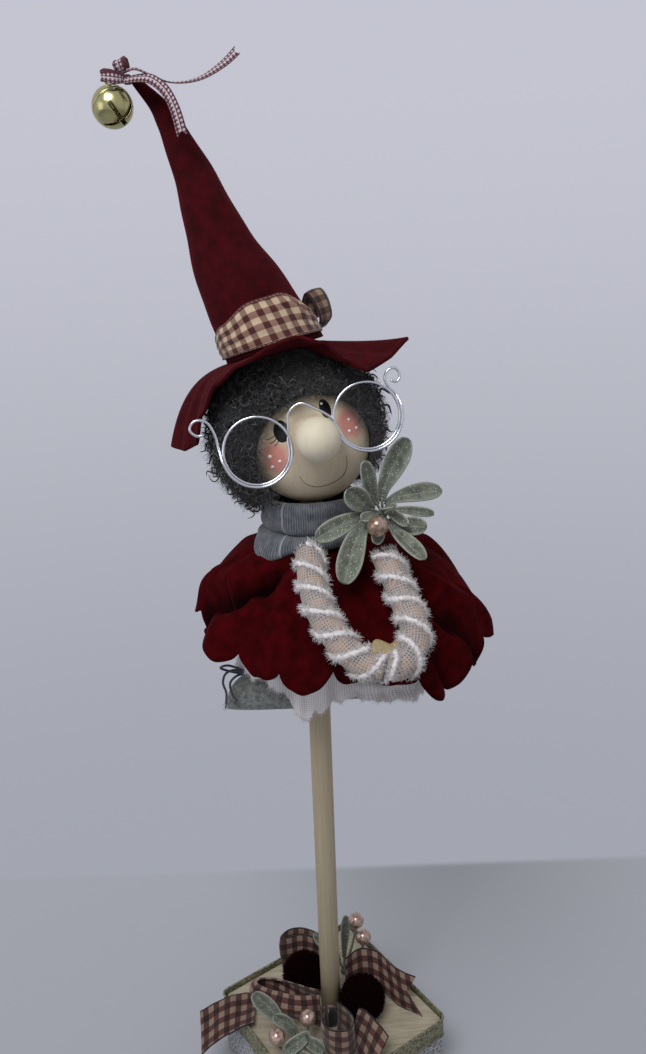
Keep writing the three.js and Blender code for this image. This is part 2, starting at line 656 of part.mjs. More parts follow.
// Arms: each is a padded core wound with a gauze strip whose frayed edge makes a spiral ridge.
function arm(points) {
  const curve = spline(points);
  const length = curve.getLength();
  const radiusAt = (t, angle) => {
    const ridge = Math.max(0, Math.cos(angle - (TURN * t * length) / ARM_WRAP_PITCH)) ** 3;
    return ARM_RADIUS + ARM_WRAP_RIDGE * ridge;
  };
  return rodAlong(curve, radiusAt, Math.round(length / ARM_STEP), 12);
}
place("arm_left", arm(raised(ARM_LEFT, NECK_HEIGHT)), TAN_CLOTH);
place("arm_right", arm(raised(ARM_RIGHT, NECK_HEIGHT)), TAN_CLOTH);

// Hands: two flat wooden mittens whose tips meet in front of the cape.
function hand(ends) {
  const [wrist, tip] = raised(ends, NECK_HEIGHT);
  const along = vec(tip).sub(vec(wrist)).normalize();
  const across = new THREE.Vector3(0, -0.5, 0.87).cross(along).normalize();
  const through = along.clone().cross(across);
  return loft((t, angle) => {
    const swell = 0.12 + 0.88 * Math.sin(Math.PI * (0.12 + 0.8 * t)) ** 0.6;
    return vec(wrist)
      .addScaledVector(along, HAND_LENGTH * t)
      .addScaledVector(across, (HAND_WIDTH / 2) * swell * Math.cos(angle))
      .addScaledVector(through, (HAND_THICKNESS / 2) * swell * Math.sin(angle));
  }, 7, 12);
}
place("hand_left", hand([[23.5, -69.5, -28.7], [38.2, -68.5, -27.9]]), BARE_WOOD);
place("hand_right", hand([[39.3, -63.1, -31.7], [25.3, -64.4, -30.8]]), BARE_WOOD);

// Legs and boots: each leg is sewn to the body by its top and ends in a felt boot that points outwards.
const hipHeight = coreFloor - GLUE_GAP - LEG_RADIUS;
const bootSole = NECK_HEIGHT - BOOT_SOLE;
[-1, 1].forEach((side, k) => {
  const name = side < 0 ? "left" : "right";
  const bootTop = bootSole + BOOT_HEIGHT;
  const legTop = [0, 22.5, 45, 67.5, 90].map((degrees) => [
    LEG_RADIUS * Math.cos(rad(degrees)),
    hipHeight + LEG_RADIUS * Math.sin(rad(degrees)),
  ]);
  const leg = turned([[0, bootTop + GLUE_GAP], [LEG_RADIUS, bootTop + GLUE_GAP], ...legTop], 12)
    .translate(side * HIP_SPREAD, -BOOT_FORWARD[k], 0);
  place(`leg_${name}`, leg, WHITE_GAUZE);

  const boot = loft((t, angle) => {
    const along = 0.5 - 0.5 * Math.cos(Math.PI * (0.04 + 0.92 * t));
    const heel = Math.sqrt(1 - (1 - Math.min(1, along / 0.22)) ** 2);
    const toe = Math.sqrt(1 - Math.max(0, (along - 0.66) / 0.34) ** 2);
    const swell = heel * toe;
    const halfWidth = (BOOT_WIDTH / 2) * (0.08 + 0.92 * swell);
    const top = BOOT_HEIGHT * (0.35 + 0.65 * swell);
    const height = (top / 2) * (1 + Math.sin(angle));
    return new THREE.Vector3(
      BOOT_HEEL[k] + side * BOOT_LENGTH * along,
      -BOOT_FORWARD[k] + halfWidth * Math.sign(Math.cos(angle)) * Math.abs(Math.cos(angle)) ** 0.7,
      bootSole + Math.max(0.02 * BOOT_HEIGHT * (1 + Math.cos(angle)), height),
    );
  }, 12, 12);
  place(`boot_${name}`, boot, GREY_GLITTER_FELT);

  const knot = new THREE.Vector3(
    BOOT_HEEL[k] + side * LACE_ALONG[k] * BOOT_LENGTH,
    -BOOT_FORWARD[k] - LACE_FORWARD[k],
    bootTop - LACE_DROP[k] + LACE_CORD_DIAMETER / 2 + GLUE_GAP,
  );
  const bow = [
    [side * -3, 2, 1.6], [0, 0, 0.2], [side * 7, -3, 3.4], [side * 9.5, -5, 0.6], [side * 7, -6.5, -3],
    [side * 6.4, -7.5, -9],
  ].map((offset) => vec(offset).add(knot));
  place(`boot_lace_${name}`, wire(bow, LACE_CORD_DIAMETER, 14), SLATE_CORD);
});

// Hat tip: a ribbon knot against the felt, two loops, two tails and the strand that carries the bell.
const knotCentre = vec(TIP_KNOT).add(vec(headCentre));
place(
  "tip_knot",
  new THREE.BoxGeometry(...TIP_KNOT_SIZE, 2, 2, 2).translate(...knotCentre),
  GINGHAM,
);
const [knotX, knotY, knotZ] = TIP_KNOT_SIZE.map((size) => size / 2 + CLOTH_GAP);
const fromKnot = (points) => points.map((offset) => vec(offset).add(knotCentre));
place("tip_loop_upper", ribbon(
  fromKnot([[-0.9, 0.4, knotZ + 0.4], [-3, -0.4, 6.6], [-5.2, -1.2, 10.2], [-2.6, -1.4, 11], [0.4, -0.2, 7],
    [1.3, 0.6, knotZ + 0.4]]),
  [[0.1, 1, 0.1], [0.1, 1, 0.1], [0.1, 1, 0.1], [0.1, 1, 0.1], [0.1, 1, 0.1], [0.1, 1, 0.1]],
  TIP_RIBBON_WIDTH,
  14,
), GINGHAM);
place("tip_loop_left", ribbon(
  fromKnot([[-1, -knotY - 0.2, 0.6], [-4.5, -6.2, 1.6], [-9.5, -7, 3], [-12.4, -5.8, 3], [-10.4, -4.9, 3.2],
    [-6, -4.5, 2.2], [-2.9, -3.4, 1]]),
  [[0, 0.2, 1], [0, 0.2, 1], [0, 0.2, 1], [0, 0.2, 1], [0, 0.2, 1], [0, 0.2, 1], [0, 0.2, 1]],
  TIP_RIBBON_WIDTH * 0.7,
  18,
), GINGHAM);
place("tip_tail_short", ribbon(
  fromKnot([[-0.5, -3.9, -1.2], [5, -5.4, -0.6], [11.4, -7.2, -1.2], [17.9, -9.2, -6.2], [22, -11.4, -14],
    [24.9, -13, -25.7]]),
  [[0, 0, 1], [0.1, 0, 1], [0.35, 0, 0.94], [0.75, 0, 0.66], [0.95, 0, 0.3], [1, 0, 0.2]],
  TIP_RIBBON_WIDTH,
  14,
  2,
), GINGHAM);
place("tip_tail_long", ribbon(
  fromKnot([[1, -3.4, 3.2], [5, -4.4, 3.4], [11, -3.6, 1], [19.6, -0.4, -2], [32.3, 2, -0.4], [44, 4.6, 6.1],
    [50.2, 6.6, 11.6]]),
  [[0, 0, 1], [0, 0, 1], [0, 0.3, 1], [0, 0.6, 0.8], [-0.1, 0.7, 0.7], [-0.4, 0.6, 0.7], [-0.5, 0.5, 0.7]],
  TIP_RIBBON_WIDTH,
  16,
  2,
), GINGHAM);

// Bell: two pressed brass halves with crossed slots, an eyelet, and a loose pellet inside. It hangs turned
// on its eyelet, so that its mouth looks down and forwards.
const bellRadius = BELL_DIAMETER / 2;
const [pivotX, pivotY, pivotZ] = vec(BELL_PIVOT).add(vec(headCentre));
const strandDrop = EYELET_RADIUS - EYELET_WIRE / 2 - STRAND_DIAMETER / 2 - GLUE_GAP;
const eyeletHeight = pivotZ - strandDrop;
const bellHeight = eyeletHeight - EYELET_RADIUS - EYELET_WIRE / 2 - bellRadius + EYELET_WIRE;
const seam = GLUE_GAP / 2;
const mouth = vec(BELL_MOUTH).normalize();
const slotAlong = vec(BELL_SLOT_TOWARDS).projectOnPlane(mouth).normalize();
const bellTurn = new THREE.Matrix4()
  .makeBasis(slotAlong, mouth.clone().negate().cross(slotAlong), mouth.clone().negate());
function bellHalf(upper) {
  const outer = ball(bellRadius, [0, 0, 0], 16, 10);
  const inner = ball(bellRadius - BELL_WALL, [0, 0, 0], 16, 10);
  const size = 2 * BELL_DIAMETER;
  const otherHalf = new THREE.BoxGeometry(size, size, size)
    .translate(0, 0, upper ? seam - size / 2 : size / 2 - seam);
  if (upper) {
    const eyelet = new THREE.TorusGeometry(EYELET_RADIUS, EYELET_WIRE / 2, 6, 14)
      .rotateX(Math.PI / 2)
      .translate(0, 0, eyeletHeight - bellHeight);
    return join(cut(outer, inner, otherHalf).applyMatrix4(bellTurn), cut(eyelet, inner));
  }
  const slot = new THREE.BoxGeometry(2 * BELL_SLOT_REACH * bellRadius, BELL_SLOT, BELL_DIAMETER)
    .translate(0, 0, -BELL_DIAMETER / 2 - 0.25 * bellRadius);
  const crossed = slot.clone().rotateZ(Math.PI / 2);
  return cut(outer, inner, otherHalf, slot, crossed).applyMatrix4(bellTurn);
}
const bellGroup = new THREE.Group();
bellGroup.position.set(pivotX, pivotY, bellHeight);
befanaDoll.add(bellGroup);
place("bell_upper", bellHalf(true), BRASS, bellGroup);
place("bell_lower", bellHalf(false), BRASS, bellGroup);
const pelletRest = -(bellRadius - BELL_WALL - PELLET_DIAMETER / 2 - CLOTH_GAP);
place("bell_pellet", ball(PELLET_DIAMETER / 2, [0, 0, pelletRest], 10, 6), BRASS, bellGroup);
const strandStart = knotCentre.x - knotX - STRAND_DIAMETER / 2;
const strandRoute = [
  [strandStart, pivotY - 1.6, pivotZ],
  [pivotX + EYELET_RADIUS, pivotY - 3.6, pivotZ],
  [pivotX, pivotY - EYELET_RADIUS, pivotZ],
  [pivotX, pivotY + EYELET_RADIUS, pivotZ],
  [pivotX + EYELET_RADIUS, pivotY + 3.6, pivotZ],
  [strandStart, pivotY + 1.6, pivotZ],
];
place("bell_strand", wire(strandRoute, STRAND_DIAMETER, 18), GINGHAM);

// A leaf on a thin stalk: root, leaf base and tip; the blade is widest past its middle.
function leaf(root, base, tip, width, facing) {
  const midrib = spline([root, base, tip]);
  const stalkShare = vec(base).sub(vec(root)).length() / midrib.getLength();
  const face = vec(facing);
  return sheet((u, v) => {
    const t = THREE.MathUtils.clamp(u, 0, 1);
    const blade = THREE.MathUtils.clamp((t - stalkShare) / (1 - stalkShare), 0, 1);
    const swell = Math.sin(Math.PI * (0.06 + 0.9 * blade ** 0.85)) ** 0.75 * Math.sign(blade);
    const half = STALK_HALF_WIDTH + (width / 2 - STALK_HALF_WIDTH) * swell;
    const tangent = midrib.getTangentAt(t);
    const side = tangent.clone().cross(face).normalize();
    return midrib
      .getPointAt(t)
      .addScaledVector(tangent, (u - t) * midrib.getLength())
      .addScaledVector(side, (2 * v - 1) * half);
  }, LEAF_THICKNESS, 7, 1);
}

// Leaves and stalks that spring from one root; all heights are above `floor`.
function sprig(floor, root, leaves, stalks) {
  const hub = ball(SPRIG_HUB_RADIUS, root, 8, 6);
  const blades = leaves.map(([base, tip, width, facing]) => leaf(root, base, tip, width, facing));
  const stems = stalks.map((points) => wire([root, ...points], STEM_DIAMETER, 6));
  return join(hub, ...blades, ...stems).translate(0, 0, floor);
}

// Neck spray: frosted leaves and a pearl, its stalk tucked between the scarf and the cape.
const pearlRadius = PEARL_DIAMETER / 2;
const forward = [0.1, -1, 0.25];
const neckRoot = [34.5, -24.5, 18];
const neckPearl = [30.8, -43, 17.9];
place("neck_spray", sprig(NECK_HEIGHT, neckRoot, [
  [[34.7, -26.5, 29.9], [46.7, -23, 54.5], 11, forward],
  [[38.6, -26, 25.1], [64, -16, 26.9], 9.5, [0, -0.8, 0.6]],
  [[41.6, -29, 21.3], [58.9, -27, 18.1], 4.5, forward],
  [[38.5, -30, 14.9], [54.3, -36, 14.3], 9, [0, -0.9, 0.5]],
  [[38.8, -34, 11.1], [52.4, -51, -0.5], 8.5, [0.3, -0.8, 0.6]],
  [[24.4, -35, 15.9], [14, -48, -7.9], 12, [0, -0.9, 0.45]],
  [[21.3, -34, 19.3], [2, -39, 11.7], 9.5, [0, -1, 0.3]],
  [[26.2, -33, 24.9], [17.4, -39, 34.9], 11, [0, -1, 0.2]],
  [[30.2, -29, 27.7], [25.6, -37, 47.5], 7, [0.2, -1, 0]],
], [
  [[33.4, -31, 18.1], [neckPearl[0] + 0.9, neckPearl[1] + pearlRadius + 0.6, neckPearl[2]]],
  [[30.5, -21.8, 10], [25, -17.9, 6.9], [SCARF_FOLD_RADIUS * 0.855, -SCARF_FOLD_RADIUS * 0.61, 4]],
]), FROSTED_LEAF);
place("neck_pearl", ball(pearlRadius, neckPearl, 10, 6).translate(0, 0, NECK_HEIGHT), PEARL_COAT);

// Foot of the stick: two pom-poms, sprigs with pearls, and a ribbon bow with its loops and tails.
const pompomHeight = blockTop + GLUE_GAP + POMPOM_RADIUS;
place("pompom_right", ball(POMPOM_RADIUS, [19.4, -6, pompomHeight], 12, 8), POMPOM_YARN);
place("pompom_left", ball(POMPOM_RADIUS, [-16.5, 14.5, pompomHeight], 12, 8), POMPOM_YARN);

const pearlPlaces = {
  pearl_back_upper: [17.4, 21, 48],
  pearl_back_lower: [21.8, 20.5, 35.5],
  pearl_front_upper: [-13.8, -25, 20],
  pearl_front_lower: [-32, -33.8, 16],
};
for (const [name, centre] of Object.entries(pearlPlaces))
  place(name, ball(pearlRadius, centre, 10, 6).translate(0, 0, blockTop), PEARL_COAT);
const stalkTo = (name, from) => {
  const [x, y, z] = pearlPlaces[name];
  return [from, [x, y, z - pearlRadius - STEM_DIAMETER / 4 - GLUE_GAP]];
};
place("foot_sprig_back", sprig(blockTop, [9, 26, 3.2], [
  [[9.6, 26, 22], [11.2, 25.3, 48], 5.5, [0, -1, 0.3]],
  [[3, 24, 20], [-9, 25.5, 35], 8, [0, -1, 0.4]],
], [
  stalkTo("pearl_back_upper", [14.5, 25.5, 24]),
  stalkTo("pearl_back_lower", [18.5, 22.5, 18]),
]), FROSTED_LEAF);
place("foot_sprig_front", sprig(blockTop, [-20, -27, 3.2], [
  [[-31.5, -22, 7.5], [-47.5, -12.5, 9], 9, [-0.3, -0.6, 0.8]],
  [[-25.5, -27, 9.5], [-35, -22.6, 14], 7, [0, -0.6, 0.8]],
  [[-18.5, -36, 8.5], [-6.5, -43.5, 10], 8, [0, -0.6, 0.8]],
  [[-27, -37, 9], [-22, -50, 8], 7.5, [-0.3, -0.6, 0.8]],
], [
  stalkTo("pearl_front_upper", [-15.6, -27, 8]),
  stalkTo("pearl_front_lower", [-30, -33, 6]),
]), FROSTED_LEAF);

const standing = (count, lean = [0, 0.25, 1]) => Array.from({ length: count }, () => lean);
const ribbonFloor = blockTop + GLUE_GAP + FOOT_RIBBON_WIDTH / 2;
const footKnot = new THREE.BoxGeometry(...KNOT_SIZE, 2, 2, 2).translate(...KNOT_PLACE);
place("foot_knot", footKnot.translate(0, 0, blockTop), GINGHAM);
place("foot_loop_back", ribbon(
  [[1.5, 31, ribbonFloor], [-8, 37, ribbonFloor + 5], [-20, 39.5, ribbonFloor + 8],
    [-31, 36, ribbonFloor + 9], [-35.5, 29.5, ribbonFloor + 8], [-30, 31, ribbonFloor + 6],
    [-17, 33.6, ribbonFloor + 3], [-3, 27.4, ribbonFloor]],
  standing(8, [0, 0.12, 1]),
  FOOT_RIBBON_WIDTH,
  22,
), GINGHAM);
place("foot_loop_left", ribbon(
  [[-7, -14, ribbonFloor], [-22, -16.5, ribbonFloor + 4], [-37, -11.5, ribbonFloor + 5],
    [-44.5, -5, ribbonFloor + 4], [-40, -3, ribbonFloor + 4], [-24, -7, ribbonFloor + 2],
    [-7, -10, ribbonFloor]],
  standing(7, [0, 0.15, 1]),
  FOOT_RIBBON_WIDTH,
  20,
), GINGHAM);
place("foot_loop_front", ribbon(
  [[-2, -17.6, ribbonFloor], [-5, -29, ribbonFloor], [1, -37, ribbonFloor], [10, -37, ribbonFloor],
    [13.4, -29, ribbonFloor], [3.4, -17.4, ribbonFloor]],
  standing(6, [0, -0.1, 1]),
  FOOT_RIBBON_WIDTH,
  18,
), GINGHAM);
place("foot_tail_right", ribbon(
  [[9.4, 10.4, ribbonFloor + 2], [20, 14.4, ribbonFloor + 5], [31, 11.6, ribbonFloor + 5],
    [42, 5, ribbonFloor + 1], [55, -1, ribbonFloor]],
  [[0, 0.3, 1], [-0.1, 0.4, 0.9], [-0.15, 0.5, 0.85], [-0.15, 0.52, 0.84], [-0.15, 0.52, 0.84]],
  FOOT_RIBBON_WIDTH,
  14,
  8,
), GINGHAM);
place("foot_tail_left", ribbon(
  [[-47.4, -2, trimTop + 0.9], [-56, -4, trimTop + 1.5], [-67, -8.6, trimTop + 5.5],
    [-80, -14, trimTop + 4.5]],
  [[0, 1, -0.02], [0, 1, 0.02], [-0.1, 0.92, 0.4], [-0.1, 0.88, 0.46]],
  FOOT_RIBBON_WIDTH,
  10,
), GINGHAM);
place("foot_tail_front", ribbon(
  [[14.8, -23, ribbonFloor], [22, -27, ribbonFloor + 1.5], [32, -36, ribbonFloor + 2],
    [40, -43, ribbonFloor]],
  [[0.2, 0.1, 1], [0.3, 0.2, 1], [0.45, 0.35, 0.8], [0.6, 0.5, 0.6]],
  FOOT_RIBBON_WIDTH,
  10,
), GINGHAM);

export default befanaDoll;
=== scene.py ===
import bmesh
import bpy
import numpy as np
from mathutils import Matrix, Vector


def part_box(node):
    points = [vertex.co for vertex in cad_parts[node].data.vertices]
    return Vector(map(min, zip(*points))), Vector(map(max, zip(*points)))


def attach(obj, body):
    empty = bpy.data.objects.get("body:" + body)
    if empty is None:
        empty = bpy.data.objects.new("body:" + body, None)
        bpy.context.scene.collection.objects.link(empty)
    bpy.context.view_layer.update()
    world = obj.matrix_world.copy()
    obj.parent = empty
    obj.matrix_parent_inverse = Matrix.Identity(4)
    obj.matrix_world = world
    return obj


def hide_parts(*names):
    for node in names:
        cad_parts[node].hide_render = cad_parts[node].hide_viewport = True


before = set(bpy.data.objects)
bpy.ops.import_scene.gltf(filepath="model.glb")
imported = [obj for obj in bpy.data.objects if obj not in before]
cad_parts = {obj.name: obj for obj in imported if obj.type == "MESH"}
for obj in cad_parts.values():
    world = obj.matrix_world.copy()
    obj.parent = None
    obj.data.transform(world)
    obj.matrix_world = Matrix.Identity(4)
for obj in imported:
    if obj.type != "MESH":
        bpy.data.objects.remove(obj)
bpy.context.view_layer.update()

# Camera: it stands where the photograph was taken, 430 mm in front of the stick and about as high as the
# hat's band, looking down on the doll and rolled a little clockwise, as a hand-held camera is.
CAMERA_PLACE = (0.0055, -0.430, 0.4975)
LOOK_DOWN, ROLL = 18.1, -2.05  # degrees
SENSOR, PHOTO_HEIGHT, FOCAL_LENGTH = 36, 1054, 880  # mm, then two in pixels of the photograph
camera_data = bpy.data.cameras.new("camera")
camera_data.sensor_width = SENSOR
camera_data.lens = SENSOR * FOCAL_LENGTH / PHOTO_HEIGHT
camera = bpy.data.objects.new("camera", camera_data)
camera.matrix_world = (
    Matrix.Translation(CAMERA_PLACE)
    @ Matrix.Rotation(np.radians(90 - LOOK_DOWN), 4, "X")
    @ Matrix.Rotation(np.radians(ROLL), 4, "Z")
)
bpy.context.scene.collection.objects.link(camera)
bpy.context.scene.camera = camera
bpy.context.scene.view_settings.view_transform = "Standard"


def linear(code):
    """Linear RGBA of an sRGB hex colour: the sRGB curve, undone on each channel."""
    rgb = np.array([int(code[i : i + 2], 16) for i in (1, 3, 5)]) / 255
    return (*np.where(rgb <= 0.04045, rgb / 12.92, ((rgb + 0.055) / 1.055) ** 2.4), 1)


def add(tree, kind, inputs=None, **settings):
    """Adds a shader node, sets its properties, and sets its inputs or links other nodes' outputs to them.

    An input that is given as a node is linked to that node's first output.
    """
    node = tree.nodes.new("ShaderNode" + kind)
    for key, value in settings.items():
        setattr(node, key, value)
    for key, value in (inputs or {}).items():
        if isinstance(value, bpy.types.Node):
            value = value.outputs[0]
        if isinstance(value, bpy.types.NodeSocket):
            tree.links.new(value, node.inputs[key])
        else:
            node.inputs[key].default_value = value
    return node


# Studio: a pale grey table that ends a little behind the doll, a plain grey wall far behind it, and two
# soft lamps, the stronger overhead, so that the base is darker than the hat. The wall is the world's colour.
TABLE_EDGE, TABLE_REACH, WORLD_LIGHT = 0.178, 1.6, 0.37
world = bpy.data.worlds.new("studio")
world.use_nodes = True
sky = world.node_tree
sky.nodes.clear()
direction = add(sky, "SeparateXYZ", {0: add(sky, "TexCoord").outputs["Generated"]})
# Painted light: the wall is lighter towards the top and darker down towards the table.
height = add(sky, "MapRange", {0: direction.outputs["Z"], 1: -0.62, 2: 0.2}, interpolation_type="SMOOTHSTEP")
wall = add(sky, "Mix", {0: height, 6: linear("#a3a6b0"), 7: linear("#c4c5d0")}, data_type="RGBA")
ray = add(sky, "LightPath")
sharp = {0: ray.outputs["Is Camera Ray"], 1: ray.outputs["Is Glossy Ray"]}
seen = add(sky, "Math", sharp, operation="MAXIMUM")
seen = add(sky, "Math", {0: seen, 1: ray.outputs["Is Transmission Ray"]}, operation="MAXIMUM")
lamp = add(sky, "Background", {"Color": (1, 1, 1, 1), "Strength": WORLD_LIGHT})
backdrop = add(sky, "Background", {"Color": wall.outputs[2]})
lit = add(sky, "MixShader", {0: seen, 1: lamp, 2: backdrop})
add(sky, "OutputWorld", {0: lit})
bpy.context.scene.world = world

for name, place, size, power in (
    ("soft_box", (-0.22, -0.55, 1.12), 0.45, 5.4),
    ("window", (-0.9, -0.5, 0.6), 0.5, 0.8),
):
    light = bpy.data.lights.new(name, "AREA")
    light.size = size
    light.energy = power
    stand = bpy.data.objects.new(name, light)
    stand.location = place
    stand.rotation_euler = (Vector((0, 0, 0.38)) - Vector(place)).to_track_quat("-Z", "Y").to_euler()
    bpy.context.scene.collection.objects.link(stand)


def finish(name, colour, roughness, **sockets):
    """Starts a material: itself, its node tree, and its shader with that colour, roughness and sockets."""
    material = bpy.data.materials.new(name)
    material.use_nodes = True
    tree = material.node_tree
    shader = tree.nodes["Principled BSDF"]
    shader.inputs["Base Color"].default_value = linear(colour)
    shader.inputs["Roughness"].default_value = roughness
    for key, value in sockets.items():
        shader.inputs[key.replace("_", " ")].default_value = value
    return material, tree, shader


def coat(tree, shader, share, over, under=None):
    """Lays a hex colour over another, or over the shader's present colour, by a share of 0 to 1."""
    paint = shader.inputs["Base Color"]
    below = linear(under) if under else paint.links[0].from_socket
    mix = add(tree, "Mix", {0: share, 6: below, 7: linear(over)}, data_type="RGBA")
    tree.links.new(mix.outputs[2], paint)
    return mix


table = bpy.data.meshes.new("table")
far, back = TABLE_REACH, 0.4
table.from_pydata([(-far, -far, 0), (far, -far, 0), (far, back, 0), (-far, back, 0)], [], [(0, 1, 2, 3)])
floor = bpy.data.objects.new("floor", table)
bpy.context.scene.collection.objects.link(floor)
laminate, tree, shader = finish("table_laminate", "#b2b5c0", 0.6)
spot = add(tree, "SeparateXYZ", {0: add(tree, "TexCoord").outputs["Object"]})
share = add(tree, "MapRange", {0: spot.outputs["Y"], 1: -0.12, 2: TABLE_EDGE})
coat(tree, shader, share, "#c3c6d0", "#b2b5c0")  # painted light: paler towards its far edge
edge = {0: spot.outputs["Y"], 1: TABLE_EDGE - 0.004, 2: TABLE_EDGE + 0.004}
past = add(tree, "MapRange", edge, interpolation_type="SMOOTHSTEP")
clear = add(tree, "BsdfTransparent")
cut = add(tree, "MixShader", {0: past, 1: shader, 2: clear})
tree.links.new(cut.outputs[0], tree.nodes["Material Output"].inputs["Surface"])
table.materials.append(laminate)

# Block: a square of wood in cream chalk paint, brushed on thinly, with a hole for the stick. Its sides
# are covered, and only its top shows.
BLOCK_SIDE, BLOCK_TOP, BLOCK_YAW = 98, 40.0, np.radians(34.7)


def roughen(tree, shader, height, strength, depth):
    """Gives the shader a bump of that depth in metres, from a node's height output."""
    bump = add(tree, "Bump", {"Height": height, "Strength": strength, "Distance": depth})
    tree.links.new(bump.outputs[0], shader.inputs["Normal"])


def mottle(tree, shader, scale, dark, light, low=0.35, high=0.65, detail=4, place=None):
    """Colours the shader between two hex colours by cloudy noise of that scale, and returns the noise."""
    if place is None:
        place = add(tree, "TexCoord").outputs["Object"]
    noise = add(tree, "TexNoise", {"Vector": place, "Scale": scale, "Detail": detail})
    share = add(tree, "MapRange", {0: noise, 1: low, 2: high})
    coat(tree, shader, share, light, dark)
    return noise


chalk_paint, tree, shader = finish("cream_chalk_paint", "#b5ab96", 0.75)
place = add(tree, "TexCoord").outputs["Object"]
turned = add(tree, "Mapping", {"Vector": place, "Rotation": (0, 0, -BLOCK_YAW), "Scale": (1, 8, 1)})
strokes = mottle(tree, shader, 60, "#a99e88", "#bfb6a2", place=turned)  # brush marks 2 mm wide
roughen(tree, shader, strokes, 0.3, 0.0004)
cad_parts["block"].data.materials.clear()
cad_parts["block"].data.materials.append(chalk_paint)

# Side lace and edge trim: grey lace glued round the block's sides, with its motifs in raised thread, and
# an olive glitter ribbon that covers the lace's top and stands 4 mm above the block, with corded edges.
LACE_LOW, TRIM_LOW, TRIM_TOP, CORD = 2, 30, 44, 0.8


def patch(grid, across=None, along=None, tone=0.0):
    """A grid of points (rows, columns, xyz) as points, quads, cloth coordinates in mm and a tone."""
    rows, columns = grid.shape[:2]
    if across is None:
        along, across = np.meshgrid(np.arange(rows), np.arange(columns), indexing="ij")
    i, j = (k.ravel() for k in np.meshgrid(np.arange(rows - 1), np.arange(columns - 1), indexing="ij"))
    corner = i * columns + j
    quads = np.stack([corner, corner + 1, corner + columns + 1, corner + columns], 1)
    cloth = np.stack([np.broadcast_to(across, (rows, columns)), np.broadcast_to(along, (rows, columns))], -1)
    return grid.reshape(-1, 3), quads, cloth.reshape(-1, 2), np.full(rows * columns, 1.0) * tone


def piece(name, patches, material, replaces=(), body="stand", thick=0):
    """One object from patches in mm: it is welded, given its thickness in mm, and rides on its body."""
    points, quads, cloth, tones = (list(part) for part in zip(*patches))
    starts = np.cumsum([0, *(len(p) for p in points)])
    faces = np.concatenate([q + start for q, start in zip(quads, starts)])
    mesh = bpy.data.meshes.new(name)
    mesh.from_pydata((np.concatenate(points) / 1000).tolist(), [], faces.tolist())
    corners = np.zeros(len(mesh.loops), np.int32)
    mesh.loops.foreach_get("vertex_index", corners)
    mesh.uv_layers.new(name="cloth").data.foreach_set("uv", np.concatenate(cloth)[corners].ravel())
    mesh.attributes.new("tone", "FLOAT", "POINT").data.foreach_set("value", np.concatenate(tones))
    mesh.polygons.foreach_set("use_smooth", np.ones(len(mesh.polygons), bool))
    shape = bmesh.new()
    shape.from_mesh(mesh)
    bmesh.ops.remove_doubles(shape, verts=shape.verts, dist=2e-6)
    bmesh.ops.dissolve_degenerate(shape, edges=shape.edges, dist=1e-7)
    bmesh.ops.recalc_face_normals(shape, faces=shape.faces)
    shape.to_mesh(mesh)
    shape.free()
    mesh.materials.append(material)
    made = bpy.data.objects.new(name, mesh)
    bpy.context.scene.collection.objects.link(made)
    if thick:
        wall = made.modifiers.new("thickness", "SOLIDIFY")
        wall.thickness = thick / 1000
        wall.offset = 0
    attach(made, body)
    if replaces:
        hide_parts(replaces)
    return made


def unit(vectors):
    """Vectors divided by their lengths."""
    return vectors / np.linalg.norm(vectors, axis=-1, keepdims=True)


def run_of(path):
    """The length along a path up to each of its points, in mm."""
    return np.r_[0, np.cumsum(np.linalg.norm(np.diff(path, axis=0), axis=1))]


def turned_by(x, y, angle):
    """Two coordinates turned about their origin by an angle."""
    return x * np.cos(angle) - y * np.sin(angle), x * np.sin(angle) + y * np.cos(angle)


def round_block(distance, count):
    """Points round the block at that distance out from its side, rounding the corners."""
    half, corner = BLOCK_SIDE / 2 + distance, 3 + max(distance, 0)
    side, arc = 2 * (half - corner), corner * np.pi / 2
    at = np.linspace(0, 4 * (side + arc), count + 1)
    lap = np.minimum(at // (side + arc), 3)
    on = at - lap * (side + arc)
    turn = np.clip(on - side, 0, arc) / corner
    x = half - corner + corner * np.cos(turn)
    y = np.minimum(on, side) - side / 2 + corner * np.sin(turn)
    return np.stack(turned_by(*turned_by(x, y, lap * np.pi / 2), BLOCK_YAW), 1)


def band(distance, low, high, rows, count, wave):
    """A patch round the block from low to high; wave(run, share) moves it outwards in mm."""
    ring = round_block(distance, count)
    run = run_of(ring)
    share = np.linspace(0, 1, rows)
    grid = np.zeros((rows, count + 1, 3))
    grid[..., :2] = ring + wave(run[None], share[:, None])[..., None] * unit(ring)
    grid[..., 2] = low + (high - low) * share[:, None]
    return patch(grid, run[None], grid[..., 2])


def edge_cord(z):
    """A cord with small lumps round the block at height z: circles along the ring, widened by a slow sine."""
    ring = round_block(1.1, 300)
    angle = np.linspace(0, 2 * np.pi, 9)
    girth = CORD * (1 + 0.12 * np.sin(np.arange(len(ring)) * 2.1))[:, None]
    grid = np.zeros((len(ring), 9, 3))
    grid[..., :2] = ring[:, None] + (girth * np.cos(angle))[..., None] * unit(ring)[:, None]
    grid[..., 2] = z + girth * np.sin(angle)
    return patch(grid)


def lace_wave(run, share):
    """Raised motifs: a fine wave round the block times one up its side, on a slow sway."""
    return 0.35 * np.sin(run / 2.3) * np.sin(share * 19) + 0.25 * np.sin(run / 7.1 + 4 * share)


def ribbon_wave(run, share):
    """A slack ribbon: waves of uneven length that grow from its lower edge to its upper one."""
    return 0.3 * np.sin(run / 3.1 + 1.5 * np.sin(run / 17)) * share


